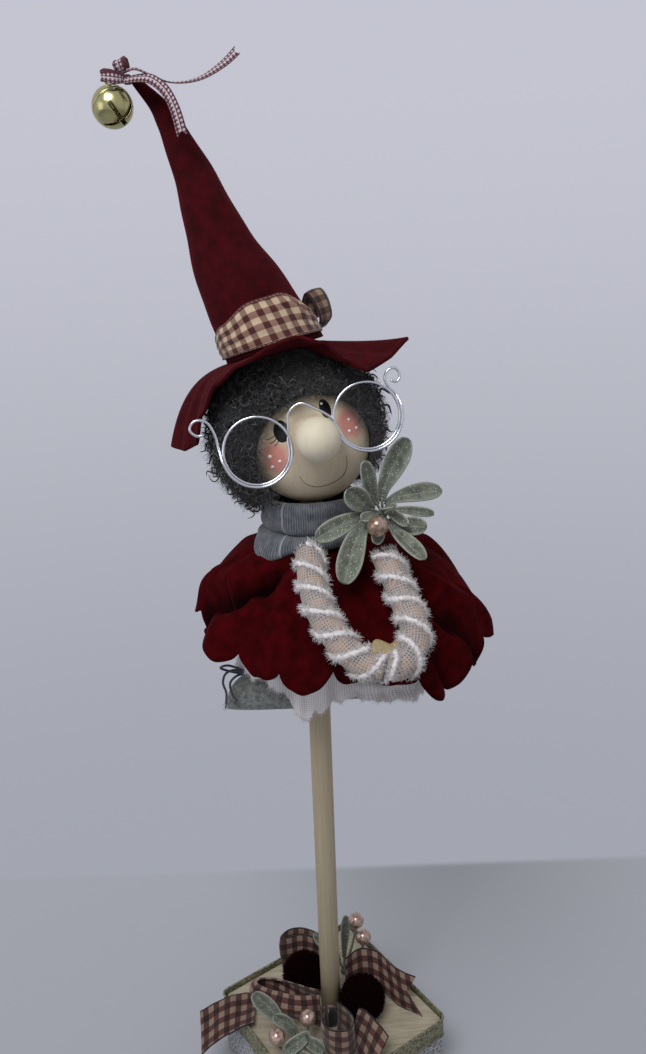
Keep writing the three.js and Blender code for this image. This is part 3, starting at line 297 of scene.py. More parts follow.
lace_cloth, tree, shader = finish("grey_lace", "#8d9097", 0.95, Sheen_Weight=0.3)
cloth = {"Vector": add(tree, "UVMap", uv_map="cloth"), "Scale": 0.28}
cells = add(tree, "TexVoronoi", cloth, voronoi_dimensions="2D", feature="DISTANCE_TO_EDGE")
cells = cells.outputs["Distance"]  # net holes of 3.5 mm, drawn coarse to show
thread = add(tree, "MapRange", {0: cells, 1: 0.03, 2: 0.16})
coat(tree, shader, thread, "#6e7077", "#b3b5bb")
roughen(tree, shader, cells, -0.8, 0.001)
lace = band(0.8, LACE_LOW, TRIM_LOW - 0.3, 12, 360, lace_wave)
lace = piece("lace_band", [lace], lace_cloth, "side_lace", thick=0.5)

glitter_ribbon, tree, shader = finish("olive_glitter_ribbon", "#6f6c52", 0.6)
place = add(tree, "TexCoord").outputs["Object"]
flecks = add(tree, "TexVoronoi", {"Vector": place, "Scale": 1100})  # glitter flecks of 0.9 mm
fleck = add(tree, "SeparateColor", {0: flecks.outputs["Color"]})
share = add(tree, "MapRange", {0: fleck.outputs["Red"], 1: 0.1, 2: 1.0})
coat(tree, shader, share, "#98957a", "#4d4b38")
roughen(tree, shader, fleck.outputs["Green"], 0.6, 0.0004)
trim = band(1.1, TRIM_LOW + CORD, TRIM_TOP - CORD, 8, 300, ribbon_wave)
trim = piece("glitter_trim_ribbon", [trim], glitter_ribbon, "edge_trim", thick=0.9)
cords = [edge_cord(TRIM_LOW + CORD), edge_cord(TRIM_TOP - CORD)]
piece("trim_corded_edges", cords, glitter_ribbon)

# Stick: a 12 mm birch dowel, sanded and bare, glued into the block and into the head. Its long fine grain
# runs upwards.
STICK_RADIUS, STICK_FOOT, STICK_TOP, CHAMFER = 6, 10.3, 393.7, 0.4


def lathe(profile, sides, centre=(0, 0, 0)):
    """Turns a profile of (radius, height) points round the upright through the centre."""
    profile = np.asarray(profile, float)
    angle = np.linspace(0, 2 * np.pi, sides + 1)
    radius, height = profile[:, :1], profile[:, 1:]
    grid = np.stack([radius * np.cos(angle), radius * np.sin(angle), height + 0 * angle], -1)
    return patch(grid + np.asarray(centre), (angle * profile[:, 0].max())[None], run_of(profile)[:, None])


def grain(name, dark, light, across, along, roughness=0.6):
    """Bare sanded wood: fibres `across` mm apart and `along` mm long, running upwards."""
    material, tree, shader = finish(name, light, roughness, Coat_Weight=0.0)
    scale = (1000 / across, 1000 / across, 1000 / along)
    fibres = add(tree, "Mapping", {"Vector": add(tree, "TexCoord").outputs["Object"], "Scale": scale})
    streaks = mottle(tree, shader, 1, dark, light, 0.2, 0.8, 3, fibres)
    roughen(tree, shader, streaks, 0.06, 0.0002)
    return material, tree, shader


birch = grain("birch_dowel", "#aa9d83", "#bbae94", 1.2, 40)[0]
stick = [(0, STICK_FOOT), (STICK_RADIUS - CHAMFER, STICK_FOOT), (STICK_RADIUS, STICK_FOOT + CHAMFER),
    (STICK_RADIUS, 200), (STICK_RADIUS, STICK_TOP - CHAMFER), (STICK_RADIUS - CHAMFER, STICK_TOP),
    (0, STICK_TOP)]
piece("birch_stick", [lathe(stick, 40)], birch, "dowel")

# Head: a turned wooden ball, drilled from below and painted by hand: rouged cheeks dabbed on dry, oval
# black eyes, white dots and a pen-thin smile; a white dot on the right eye is a painted highlight. It is
# glued on turned and tilted, looking up to the right.
NECK, HEAD_RADIUS, HEAD_CENTRE = 352.5, 30.0, np.array([0, 0, 402.0])
FACE_TURN, FACE_TIP, FACE_ROLL = np.radians([7, 13.5, 14.3])
FACE = np.array(
    Matrix.Rotation(FACE_TURN, 3, "Z")
    @ Matrix.Rotation(-FACE_TIP, 3, "X")
    @ Matrix.Rotation(-FACE_ROLL, 3, "Y")
)


def on_face(points):
    """Points of the face's own frame, -Y forwards, moved to the head's place and tilt."""
    return np.asarray(points, float) @ FACE.T + HEAD_CENTRE


def ball(radius, rings, lowest=-np.pi / 2):
    """Profile points of a sphere from the lowest latitude up."""
    latitude = np.linspace(lowest, np.pi / 2, rings)
    return np.stack([radius * np.cos(latitude), radius * np.sin(latitude)], 1)


def face_point(side, up, out=0.0):
    """A point of the ball `side` mm to the viewer's right and `up` mm above the nose, seen square on."""
    side, up = np.broadcast_arrays(np.asarray(side, float), np.asarray(up, float))
    deep = np.sqrt(np.maximum(HEAD_RADIUS**2 - side**2 - up**2, 1))
    flat = np.stack([side, -deep, up], -1)
    return on_face(flat * (1 + np.asarray(out, float)[..., None] / HEAD_RADIUS))


painted_ball, tree, shader = grain("painted_beech_ball", "#cfc0a6", "#dccdb4", 3, 60)
place = add(tree, "TexCoord").outputs["Object"]
for middle in ((-20.5, -2.5), (19.5, 2.5)):  # rouge, dabbed on 16 mm across
    cheek = tuple(face_point(*middle) / 1000)
    apart = add(tree, "VectorMath", {0: place, 1: cheek}, operation="DISTANCE").outputs["Value"]
    noise = add(tree, "TexNoise", {"Vector": place, "Scale": 160, "Detail": 3})
    dab = add(tree, "Math", {0: noise, 1: 0.004, 2: apart}, operation="MULTIPLY_ADD")
    fade = {0: dab, 1: 0.0065, 2: 0.0128, 3: 0.85, 4: 0.0}
    rouge = add(tree, "MapRange", fade, interpolation_type="SMOOTHSTEP")
    coat(tree, shader, rouge, "#d07d78")
middle = tuple(face_point(0, -6) / 1000)  # painted shade: the ball darkens away from the middle of the face, towards the hair and the scarf
away = add(tree, "VectorMath", {0: place, 1: middle}, operation="DISTANCE").outputs["Value"]
shade = add(tree, "MapRange", {0: away, 1: 0.020, 2: 0.036, 3: 0.0, 4: 0.6}, interpolation_type="SMOOTHSTEP")
coat(tree, shader, shade, "#a8937a")
brow = FACE[:, 2]  # painted shade: darkest along the hairline, under the overhanging hair
above = add(tree, "VectorMath", {0: place, 1: tuple(brow)}, operation="DOT_PRODUCT").outputs["Value"]
hairline = brow @ HEAD_CENTRE / 1000
shade = add(tree, "MapRange", {0: above, 1: hairline + 0.013, 2: hairline + 0.023, 3: 0.0, 4: 0.8})
coat(tree, shader, shade, "#5c5246")
drilled = np.vstack([[0, -29.6], [6.3, -29.6], ball(HEAD_RADIUS, 60, -1.36)])
piece("painted_head", [lathe(drilled, 96, HEAD_CENTRE)], painted_ball, "head")


def spline(points, count):
    """`count` points evenly spaced along a centripetal Catmull-Rom curve through the given ones."""
    p = np.asarray(points, float)
    p = np.vstack([2 * p[0] - p[1], p, 2 * p[-1] - p[-2]])
    gap = np.maximum(np.linalg.norm(np.diff(p, axis=0), axis=1) ** 0.5, 1e-4)[:, None]
    slope = np.diff(p, axis=0) / gap
    chord = (p[2:] - p[:-2]) / (gap[1:] + gap[:-1])
    tangent = slope[:-1] - chord + slope[1:]  # at each of the given points
    t = np.linspace(0, 1, 25)[None, :-1, None]
    a, b, step = p[1:-2, None], p[2:-1, None], gap[1:-1, None]
    m, n = tangent[:-1, None] * step, tangent[1:, None] * step
    fine = (2 * t**3 - 3 * t**2 + 1) * a + (t**3 - 2 * t**2 + t) * m
    fine = fine + (3 * t**2 - 2 * t**3) * b + (t**3 - t**2) * n
    fine = np.vstack([fine.reshape(-1, p.shape[1]), p[-2]])
    run = run_of(fine)
    even = np.linspace(0, run[-1], count)
    return np.stack([np.interp(even, run, column) for column in fine.T], 1)


def beside(path):
    """Unit tangents of a path, and two unit vectors across it that turn no more than the path does."""
    along = unit(np.gradient(path, axis=0))
    rows = [unit(np.cross(along[0], [0.3, 0.2, 0.93]))]
    for direction in along[1:]:
        rows.append(unit(rows[-1] - direction * (rows[-1] @ direction)))
    normal = np.array(rows)
    return along, normal, np.cross(along, normal)


def tube(path, radius, sides=10, tone=0.0):
    """A round rod of that radius (one number or one a point) along a path, its ends rounded to a point."""
    along, normal, other = beside(path)
    radius = np.broadcast_to(radius, len(path)).astype(float)
    bend = np.array([0, 0.5, 0.87])[:, None]
    start = path[0] - along[0] * radius[0] * np.array([1, 0.87, 0.5])[:, None]
    end = path[-1] + along[-1] * radius[-1] * np.array([0.5, 0.87, 1])[:, None]
    path = np.vstack([start, path, end])
    radius = np.r_[radius[0] * bend[:, 0], radius, radius[-1] * bend[::-1, 0]]
    normal = np.vstack([normal[[0] * 3], normal, normal[[-1] * 3]])
    other = np.vstack([other[[0] * 3], other, other[[-1] * 3]])
    angle = np.linspace(0, 2 * np.pi, sides + 1)[None, :, None]
    ring = normal[:, None] * np.cos(angle) + other[:, None] * np.sin(angle)
    grid = path[:, None] + radius[:, None, None] * ring
    return patch(grid, angle[..., 0] * radius.mean(), run_of(path)[:, None], tone)


def stroke(path, width):
    """A thin raised line of paint along a path, tapering to both ends."""
    swell = np.sin(np.linspace(0.25, np.pi - 0.25, len(path))) ** 0.5
    return tube(path, width / 2 * swell, 6)


def blob(side, up, wide, tall, lean, height, rings=7, sides=28):
    """An oval drop of paint on the ball: `height` thick in the middle, thinning to its edge, in mm."""
    angle = np.linspace(0, 2 * np.pi, sides + 1)
    share = np.linspace(0, 1, rings)[:, None]
    x, y = turned_by(wide / 2 * share * np.cos(angle), tall / 2 * share * np.sin(angle), lean)
    return patch(face_point(side + x, up + y, height * (1 - share**2) - 0.12 * share**4 + 0.02))


eye_black, tree, shader = finish("black_satin_craft_paint", "#0d0c10", 0.38, Specular_IOR_Level=0.3)
mottle(tree, shader, 900, "#08080b", "#16151b")
# Side, height, width, length and lean of each eye, then the two ends of each lash
EYES = [(-13.6, 8.7, 7.8, 11.6, np.radians(-8)), (9.3, 12.6, 6.0, 10.6, np.radians(-2))]
LASHES = [((-16.4, 6.6), (-20.2, 4.9)), ((-16.6, 8.0), (-21.4, 7.2)), ((-16.0, 5.2), (-18.8, 3.2))]
lashes = []
for start, end in LASHES:
    way = np.linspace(start, end, 9)
    way[:, 1] -= 0.5 * np.sin(np.linspace(0, np.pi, 9))
    lashes.append(stroke(face_point(way[:, 0], way[:, 1], 0.05), 0.42))
piece("painted_eyes", [blob(*eye, 0.35) for eye in EYES] + lashes, eye_black)

dot_white, tree, shader = finish("white_craft_paint", "#eee6e2", 0.4)
mottle(tree, shader, 700, "#e2d6d2", "#fbf6f4")
# Side, height and width of each white dot; the last, on the right eye, is a painted highlight.
DOTS = [(-22.2, -0.9, 1.9), (-18.5, -4.4, 1.5), (-22.4, -6.0, 1.7), (18.9, 4.4, 1.5), (21.5, -0.5, 1.6),
    (17.2, -0.9, 1.7), (8.4, 15.2, 1.7)]
dots = [blob(side, up, wide, wide, 0, 0.6, 5, 16) for side, up, wide in DOTS]
piece("white_dots_and_painted_highlight", dots, dot_white)

pen_brown, tree, shader = finish("brown_pen_line", "#5a4436", 0.7)
mottle(tree, shader, 600, "#4c392d", "#6d5442")
SMILE = [(-12.1, -13.7), (-9.9, -18.4), (-5.2, -21.4), (1.7, -22.0), (8.4, -20.1), (11.6, -15.4),
    (12.0, -11.6)]
smile = spline(np.c_[np.array(SMILE), np.zeros(7)], 60)
piece("smile_line", [stroke(face_point(smile[:, 0], smile[:, 1], 0.02), 0.38)], pen_brown)

# Nose: a round wooden bead, 21 mm across, with a small sanded flat by which it is glued on.
NOSE_RADIUS, NOSE_FLAT = 10.5, 9.5  # the flat's depth behind the bead's middle
bead_wood = grain("bare_lime_bead", "#d6ccb6", "#e2d8c3", 3, 30)[0]
bead = np.vstack([[0, -NOSE_FLAT], ball(NOSE_RADIUS, 44, -np.arcsin(NOSE_FLAT / NOSE_RADIUS))])
points, *rest = lathe(bead, 64)
points = points[:, [0, 2, 1]] * (1, -1, 1) + (0, -39.8, 0)
piece("bead_nose", [(on_face(points), *rest)], bead_wood, "nose")

# Spectacles: one length of 1.3 mm silver craft wire, wound one and a half times round for each lens, with
# an arch over the nose and a curl at each end. They stand on the nose and lean on the hair.
WIRE, LENS_PLANE, RING, TURNS = 1.3, 34.2, 15.7, 1.5


def lens_ring(side, middle):
    """A ring of one and a half turns: its angle runs on, and its radius and depth change with it."""
    turn = np.arange(0, TURNS + 1e-6, 1 / 14)
    radius = RING + side * 1.05 * (turn - TURNS / 2)
    angle = np.pi + 2 * np.pi * turn
    deep = -LENS_PLANE - side * 1.43 * (turn - TURNS / 2)
    return np.stack([middle + radius * np.cos(angle), deep, 3.3 + radius * np.sin(angle)], 1)


def in_lens_plane(points):
    """(side, up, forward) points as face-frame points."""
    side, up, forward = np.array(points, float).T
    return np.stack([side, -LENS_PLANE - forward, up], 1)


left_curl = in_lens_plane([(-48.8, 17.6, 0), (-51.6, 18.4, 0), (-53.6, 21.8, 0), (-50.6, 24.8, 0),
    (-45.6, 23.2, -0.4), (-43.6, 17, -1), (-43.9, 9.5, -1.4)])
bridge = in_lens_plane([(-10.6, 9.5, -1.4), (-8.6, 15.6, -1), (-2.2, 18.2, -0.4), (4.2, 13.4, 0.6),
    (8.3, 9, 1)])
right_curl = in_lens_plane([(41.9, 9, -1.4), (39.6, 13, -1), (38.9, 17.2, -0.4), (41.4, 20.4, 0),
    (45, 20.2, 0), (46.2, 16.6, 0), (43.9, 14.2, 0), (41.6, 15.3, 0)])
route = spline(np.vstack([left_curl, lens_ring(-1, -27.6), bridge, lens_ring(1, 25.9), right_curl]), 460)
silver, tree, shader = finish("silver_craft_wire", "#d9dbe0", 0.18, Metallic=1.0)
drawn = {"Vector": add(tree, "TexCoord").outputs["Object"], "Scale": 900, "Detail": 2}  # drawing marks
roughen(tree, shader, add(tree, "TexNoise", drawn), 0.15, 0.0001)
piece("wire_spectacles", [tube(on_face(route), WIRE / 2, 14)], silver, "spectacles")

# Hat: a cone of burgundy wool felt, rolled, glued along a seam at the back and bent over at its tip. It
# sits on a felt brim 2 mm thick that was wetted and pulled into waves.
HAT_FOOT = HEAD_CENTRE + (-14.9, 7.5, 45.2)
HAT_LEAN = np.array(Matrix.Rotation(np.radians(-6.5), 3, "X") @ Matrix.Rotation(np.radians(-13.7), 3, "Y"))
AXIS_STEPS, CONE_FELT, BRIM_FELT, BRIM_HOLE = 400, 1.2, 1.9, 17
AXIS = spline([(0, 0, 0), (-3.6, 0, 16), (-10.2, 0, 46), (-14.5, 0, 88.6), (-20.2, 0, 119.2),
    (-27.4, -4.4, 132.4)], AXIS_STEPS + 1)
HAT_LENGTH = run_of(AXIS)[-1]


def on_hat(points):
    """Points of the hat's own frame, its foot at the origin and +Z along its lean, moved to its place."""
    return np.asarray(points, float) @ HAT_LEAN.T + HAT_FOOT


def steps(*spans):
    """Even steps over each span of (from, to, count), spread over one grid: the first span runs by rows."""
    return np.meshgrid(*(np.linspace(*span) for span in spans), indexing="ij")


def hump(x, middle, wide):
    """A smooth rise, 1 at its middle and about a third at that width from it: a Gauss curve."""
    return np.exp(-(((x - middle) / wide) ** 2))


def at_share(values, t):
    """Values at share t of a path's length, between its points."""
    return np.stack([np.interp(t * AXIS_STEPS, np.arange(AXIS_STEPS + 1), column) for column in values.T], -1)


def cone_point(t, angle, stand=0.0):
    """A point of the cone at share t of its height: rings 24.4 to 2.2 mm in radius, square to the axis."""
    t, angle, stand = np.broadcast_arrays(*(np.asarray(x, float) for x in (t, angle, stand)))
    up = np.clip(t, 0, 1)
    share = np.minimum(1, up / 0.35)[..., None]
    lean = unit((1 - share) * (0, 0, 1) + share * at_share(unit(np.gradient(AXIS, axis=0)), up))
    right = unit(np.cross((0, 1, 0), lean))
    radius = 2.2 + 22.2 * (1 - up) ** 1.05 + 1.5 * hump(t, 0.24, 0.16) + stand
    ring = (radius * np.cos(angle))[..., None] * right
    return at_share(AXIS, up) + ring + (radius * np.sin(angle))[..., None] * np.cross(lean, right)


def felt(name, dark, light, lift, sheen, gloss=0.12):
    """Wool felt: matted fibres in clouds of a few mm, a short nap with a soft sheen, no gloss, and painted
    shade where the mesh's tone marks a fold.
    """
    nap = {"Sheen_Weight": sheen, "Sheen_Roughness": 0.4, "Sheen_Tint": linear(lift)}
    material, tree, shader = finish(name, light, 0.95, Specular_IOR_Level=gloss, **nap)
    cloud = mottle(tree, shader, 150, dark, light, 0.3, 0.7, 8)
    painted_crease_shade = add(tree, "Attribute", attribute_name="tone").outputs["Fac"]  # painted shade: dark in the folds, where the mesh's tone is high
    coat(tree, shader, painted_crease_shade, "#0a0102")
    fibre = {"Vector": add(tree, "TexCoord").outputs["Object"], "Scale": 1400, "Detail": 4}
    depth = add(tree, "Math", {0: add(tree, "TexNoise", fibre), 1: cloud}, operation="ADD")
    roughen(tree, shader, depth, 0.5, 0.0006)
    return material


burgundy_felt = felt("burgundy_wool_felt", "#2c0306", "#440610", "#a0182a", 0.24)
t, angle = steps((0, 1, 150), (0, 2 * np.pi, 129))
lump = 0.35 * np.sin(9 * t + 2 * angle) * np.sin(3 * angle + 5 * t)
lump += 0.25 * np.sin(31 * t) * np.sin(angle + 2)
lump += 0.5 * hump(t, 0.86, 0.035) * np.cos(angle - 3.1)  # the crease at the bend
seam = hump(angle, np.pi / 2, 0.045) * 0.9 * (1 - t)
cone = cone_point(t, angle, lump * (1 - t**8) * np.minimum(1, t * 12) + seam - CONE_FELT / 2)
rim, below = cone[-1].mean(0), cone[-2].mean(0)
tip = rim + (rim - below) * 1.2
dome = tip + (cone[-1] - rim) * np.array([0.75, 0.0])[:, None, None]
dome[0] -= (tip - rim) * 0.35
cone[0, :, 2] -= 0.6  # its foot is glued down on the brim
whole = on_hat(np.concatenate([cone, dome]))
felt_cone = piece("felt_cone", [patch(whole)], burgundy_felt, "hat_cone", thick=CONE_FELT)


def around(stops, azimuth):
    """Smoothly stepped values between stops of (azimuth in degrees, value, ...), going round the doll."""
    stops = np.array(stops, float)
    stops = np.vstack([stops, stops[0] + np.r_[360, np.zeros(stops.shape[1] - 1)]])
    here = (np.degrees(azimuth) - stops[0, 0]) % 360 + stops[0, 0]
    k = np.clip(np.searchsorted(stops[:, 0], here, "right") - 1, 0, len(stops) - 2)
    s = (here - stops[k, 0]) / (stops[k + 1, 0] - stops[k, 0])
    s = s * s * (3 - 2 * s)
    return [stops[k, i] * (1 - s) + stops[k + 1, i] * s for i in range(1, stops.shape[1])]


def from_front(azimuth, radius, height):
    """Points at an azimuth from the front, positive to the viewer's right."""
    return np.stack([radius * np.sin(azimuth), -radius * np.cos(azimuth), height], -1)


# Azimuth from the front in degrees, reach, drop of the edge, and the share of it that drops steadily
BRIM = [(-160, 44, 6, 0.3), (-120, 56, 20, 0.1), (-95, 64, 31, 0), (-80, 57, 34, 0), (-69, 51.5, 32.5, 0),
    (-58, 48, 20, 0.1), (-40, 45, 7, 0.25), (-20, 44, 1.5, 0.1), (0, 42, -2, 0), (18, 42, -3, 0),
    (32, 45, 2, 0.5), (41, 48, 13, 0.8), (50, 52, 19.5, 1), (63, 58, 17, 1.2), (77, 64.5, 12, 1.3),
    (95, 59, 11, 1.2), (125, 49, 9, 0.8), (160, 43, 6, 0.4)]


def brim_height(drop, steady, v):
    """Height of the brim's middle: part of its drop is steady, and part grows with the cube of v."""
    return -1.3 - drop * (steady * v + (1 - steady) * v**3)


v, azimuth = steps((0, 1, 36), (-np.pi, np.pi, 289))
reach, drop, steady = around(BRIM, azimuth)
wave = from_front(azimuth, BRIM_HOLE + (reach - BRIM_HOLE) * v, brim_height(drop, steady, v))
wave[..., 2] += v**2 * (0.5 * np.sin(5 * azimuth + 1) + 0.25 * np.sin(11 * azimuth))
wave = [patch(on_hat(wave), azimuth * 40, v * 36)]
brim = piece("felt_brim", wave, burgundy_felt, "hat_brim", thick=BRIM_FELT)
edge = brim.modifiers.new("soft_edge", "BEVEL")
edge.width, edge.segments, edge.limit_method, edge.angle_limit = 0.0006, 2, "ANGLE", np.radians(50)


# Hat band: a wide ribbon in burgundy and cream gingham with a stitched burgundy selvedge, drawn tight round
# the cone's foot so that it puckers, and tied behind the right side, where one loop of the bow shows.
def gingham(name, square, cream, pink, olive, dark, selvedge, width, edge, line=0.0, stitch=0.0):
    """Woven checks: warp and weft stripes `square` mm wide that darken where they cross, with a dark edge."""
    material, tree, shader = finish(name, cream, 0.85, Sheen_Weight=0.2)
    cloth = add(tree, "SeparateXYZ", {0: add(tree, "UVMap", uv_map="cloth")})
    stripes, threads = [], []
    for axis in ("X", "Y"):
        swing = add(tree, "Math", {0: cloth.outputs[axis], 1: square}, operation="PINGPONG")
        stripes.append(add(tree, "MapRange", {0: swing, 1: square * 0.46, 2: square * 0.54}))
        thread = add(tree, "Math", {0: cloth.outputs[axis], 1: 9.0}, operation="MULTIPLY")
        threads.append(add(tree, "Math", {0: thread}, operation="SINE"))
    warp = add(tree, "Mix", {0: stripes[0], 6: linear(cream), 7: linear(pink)}, data_type="RGBA").outputs[2]
    weft = add(tree, "Mix", {0: stripes[0], 6: linear(olive), 7: linear(dark)}, data_type="RGBA").outputs[2]
    checks = add(tree, "Mix", {0: stripes[1], 6: warp, 7: weft}, data_type="RGBA").outputs[2]
    paint = shader.inputs["Base Color"]
    tree.links.new(checks, paint)
    off = add(tree, "Math", {0: cloth.outputs["X"], 1: width / 2}, operation="SUBTRACT")
    off = add(tree, "Math", {0: off}, operation="ABSOLUTE")
    rim = add(tree, "MapRange", {0: off, 1: width / 2 - edge - 0.1, 2: width / 2 - edge + 0.1})
    coat(tree, shader, rim, selvedge)
    if line:
        middle = add(tree, "MapRange", {0: off, 1: line * 0.4, 2: line * 0.6, 3: 1.0, 4: 0.0})
        coat(tree, shader, middle, cream)
    if stitch:
        row = add(tree, "Math", {0: off, 1: width / 2 - edge * 0.55, 2: 0.22}, operation="COMPARE")
        beat = add(tree, "Math", {0: cloth.outputs["Y"], 1: stitch}, operation="PINGPONG")
        dash = add(tree, "Math", {0: beat, 1: stitch * 0.7}, operation="LESS_THAN")
        coat(tree, shader, add(tree, "Math", {0: row, 1: dash}, operation="MULTIPLY"), "#8d6a62")
    rib = add(tree, "Math", {0: threads[0], 1: threads[1]}, operation="MULTIPLY")
    shade = add(tree, "MapRange", {0: rib, 1: -1, 2: 1, 3: 0.9, 4: 1.06})
    # Painted shade: the mesh's tone darkens the cloth, in the hat band's grooves.
    painted_shade = add(tree, "Attribute", attribute_name="tone").outputs["Fac"]
    shade = add(tree, "Math", {0: painted_shade, 1: -0.7, 2: shade}, operation="MULTIPLY_ADD")
    tint = add(tree, "VectorMath", {0: paint.links[0].from_socket, 3: shade}, operation="SCALE")
    tree.links.new(tint.outputs[0], paint)
    roughen(tree, shader, rib, 0.25, 0.0003)  # threads of 0.7 mm, drawn coarse so that the weave shows
    return material


BAND_DYES = ("#c8b397", "#8f6b5d", "#876858", "#451611", "#400810")
hat_gingham = gingham("burgundy_cream_gingham", 3.1, *BAND_DYES, 22, 1.3, stitch=1.1)
BAND_WIDTHS = [(-90, 10), (-45, 17), (0, 22), (35, 21), (85, 12), (180, 17)]
v, u = steps((0, 1, 44), (0, 1, 241))
(width,) = around(BAND_WIDTHS, 2 * np.pi * u)
azimuth = (2 * np.pi * u + np.pi) % (2 * np.pi) - np.pi
squeeze = hump(azimuth, 0.95, 0.42)
gather = np.abs(np.sin(8.5 * azimuth + 2.4 * v + 0.9 * np.sin(8 * v)))
pucker = squeeze * (2.3 * gather * np.sin(np.pi * np.minimum(1, 1.5 * (1 - v))) + 0.2)
pucker += 0.22 * np.sin(2 * np.pi * 3 * v + 1.2 * np.sin(3 * azimuth)) * (1 - squeeze)
loose = 0.95 + pucker + 0.5 * np.sin(np.pi * v)
ribbon = on_hat(cone_point((2 + width * v) / HAT_LENGTH, 2 * np.pi * (u - 0.25), loose))
# Painted shade: darker in the grooves between the puckers.
groove_shade = squeeze * np.clip(1 - 1.6 * gather, 0, 1) * np.minimum(1, 2 * (1 - v))
ribbon = [patch(ribbon, v * 22, u * 150, groove_shade.ravel())]
hat_band = piece("gingham_hat_band", ribbon, hat_gingham, "hat_band", thick=0.6)


def ribbon_patch(points, sides, width, count=90, columns=13, notch=0.0, cup=0.0, shape=None):
    """A ribbon along a curve, `width` across the side vectors; `notch` cuts a V, `cup` arches it across.

    Width and cup are one number each, or several that follow each other evenly along it.
    """
    path = spline(points, count)
    t = np.linspace(0, 1, count)
    side = unit(spline(unit(np.array(sides, float)) + np.arange(len(sides))[:, None] * 1e-5, count))
    along = unit(np.gradient(path, axis=0))
    normal = np.cross(along, side)
    across = np.linspace(0, 1, columns)
    wide, arch = (
        np.interp(t, np.linspace(0, 1, np.size(x)), np.atleast_1d(x))[:, None] for x in (width, cup)
    )
    bow = arch * (1 - (2 * across - 1) ** 2)
    cut = notch * np.maximum(0, (t - 0.75) / 0.25)[:, None] * (np.abs(2 * across - 1) - 1)
    grid = path[:, None] + ((across - 0.5) * wide)[..., None] * side[:, None]
    grid = grid + bow[..., None] * normal[:, None] + cut[..., None] * along[:, None]
    if shape is not None:
        grid = grid + shape(t[:, None], across[None])[..., None] * normal[:, None]
    run = run_of(path)[:, None]
    return patch(grid, (across * np.max(width))[None] + 0 * run, run + cut)


bow_path = [(21.5, 20, 9), (22.5, 20, 18.5), (25.4, 18, 22.6), (28, 15, 17.5), (28.2, 15, 8), (25, 18, 4.5)]
bow_sides = [(0.85, 0.5, 0.1), (0.85, 0.5, 0.1), (0.75, 0.65, 0.1), (0.8, 0.6, 0.1), (0.8, 0.6, 0.1),
    (0.6, 0.8, 0.1)]
BOW_SHADED_COLOURS = ("#8f7866", "#60413a", "#54402f", "#2a0b0b", "#25060a")  # the band's ribbon again, its colours darkened as painted shade under the brim
bow_gingham = gingham("burgundy_cream_gingham_bow_in_painted_shade", 3.1, *BOW_SHADED_COLOURS, 10, 1.2)
points, *rest = ribbon_patch(bow_path, bow_sides, 10, 70, 11, cup=0.6)
bow = [(on_hat(points), *rest)]
bow = piece("gingham_band_bow", bow, bow_gingham, "hat_band_bow", thick=0.6)

# Hair: a wig of charcoal mohair curls glued round the ball, open over the face and tucked under the brim.
# Short coiled locks lie over a matted pad, and loose hairs stand out from them.
HAIR_RADII, HAIR_CENTRE = np.array([44, 40, 46.0]), HEAD_CENTRE + (-6, 6, 5)
SCARF_REACH, SCARF_TOP, HAIR_FOOT = 27.5, 382, 364  # the hair stays outside the scarf or above it
OPENING_WIDE, OPENING_TALL, OPENING_DROP = 29, 28, 7
PAD_INSIDE, CURLS, FRIZZ = 30.7, 2400, 15000
rng = np.random.default_rng(11)


def under_brim(points):
    """How far below the brim's middle each point lies, in mm."""
    x, y, z = np.moveaxis((points - HAT_FOOT) @ HAT_LEAN, -1, 0)
    reach, drop, steady = around(BRIM, np.arctan2(x, -y))
    v = np.clip((np.hypot(x, y) - BRIM_HOLE) / (reach - BRIM_HOLE), 0, 1.25)
    return brim_height(drop, steady, v) - z


def in_face(points):
    """Below 1 within the wig's opening: an ellipse of 29 by 28 mm half axes, 7 mm below the nose."""
    side, deep, up = np.moveaxis((points - HEAD_CENTRE) @ FACE, -1, 0)
    return np.where(deep < 0, np.hypot(side / OPENING_WIDE, (up + OPENING_DROP) / OPENING_TALL), 9)


def strands(starts, headings, lengths, radius, curl, turns, tone, rings=6, coil=False):
    """Many tapered hairs of three sides: each waves `curl` mm about its heading `turns` times."""
    count = len(starts)

    def each(value):
        """One number, or one a hair, ready to multiply its rings."""
        return np.broadcast_to(value, count).astype(float)[:, None, None]

    t = np.linspace(0, 1, rings)[None, :, None]
    heading = unit(headings)
    side = unit(np.cross(heading, rng.normal(size=(count, 3))))
    up = np.cross(heading, side)
    phase = rng.uniform(0, 2 * np.pi, count)[:, None, None]
    wave = phase + 2 * np.pi * each(turns) * t
    sway = each(curl) * np.minimum(1, 3 * t)
    swing = (np.cos(wave) - np.cos(phase)) * side[:, None] + (np.sin(wave) - np.sin(phase)) * up[:, None]
    path = starts[:, None] + heading[:, None] * each(lengths) * t + sway * swing
    along = np.gradient(path, axis=1)
    first = np.cross(along, heading[:, None] if coil else side[:, None])
    first /= np.linalg.norm(first, axis=2)[..., None] + 1e-9
    second = np.cross(along, first)
    second /= np.linalg.norm(second, axis=2)[..., None] + 1e-9
    thin = each(radius) * (np.sin(np.pi * (0.12 + 0.88 * t)) ** 0.6 if coil else 1 - 0.75 * t)
    thin = thin * np.where((t == 0) | (t == 1), 0, 1)
    corner = 2 * np.pi * np.arange(3)[None, None, :, None] / 3
    out = np.cos(corner) * first[:, :, None] + np.sin(corner) * second[:, :, None]
    ring = path[:, :, None] + thin[:, :, None] * out
    spans = np.arange(count), np.arange(rings - 1), np.arange(3)
    hair, row, k = (x.ravel() for x in np.meshgrid(*spans, indexing="ij"))
    a, b = (hair * rings + row) * 3, (k + 1) % 3
    quads = np.stack([a + k, a + b, a + 3 + b, a + 3 + k], 1)
    shade = np.broadcast_to(np.asarray(tone, float)[:, None, None], (count, rings, 3)).ravel()
    return ring.reshape(-1, 3), quads, np.zeros((count * rings * 3, 2)), shade


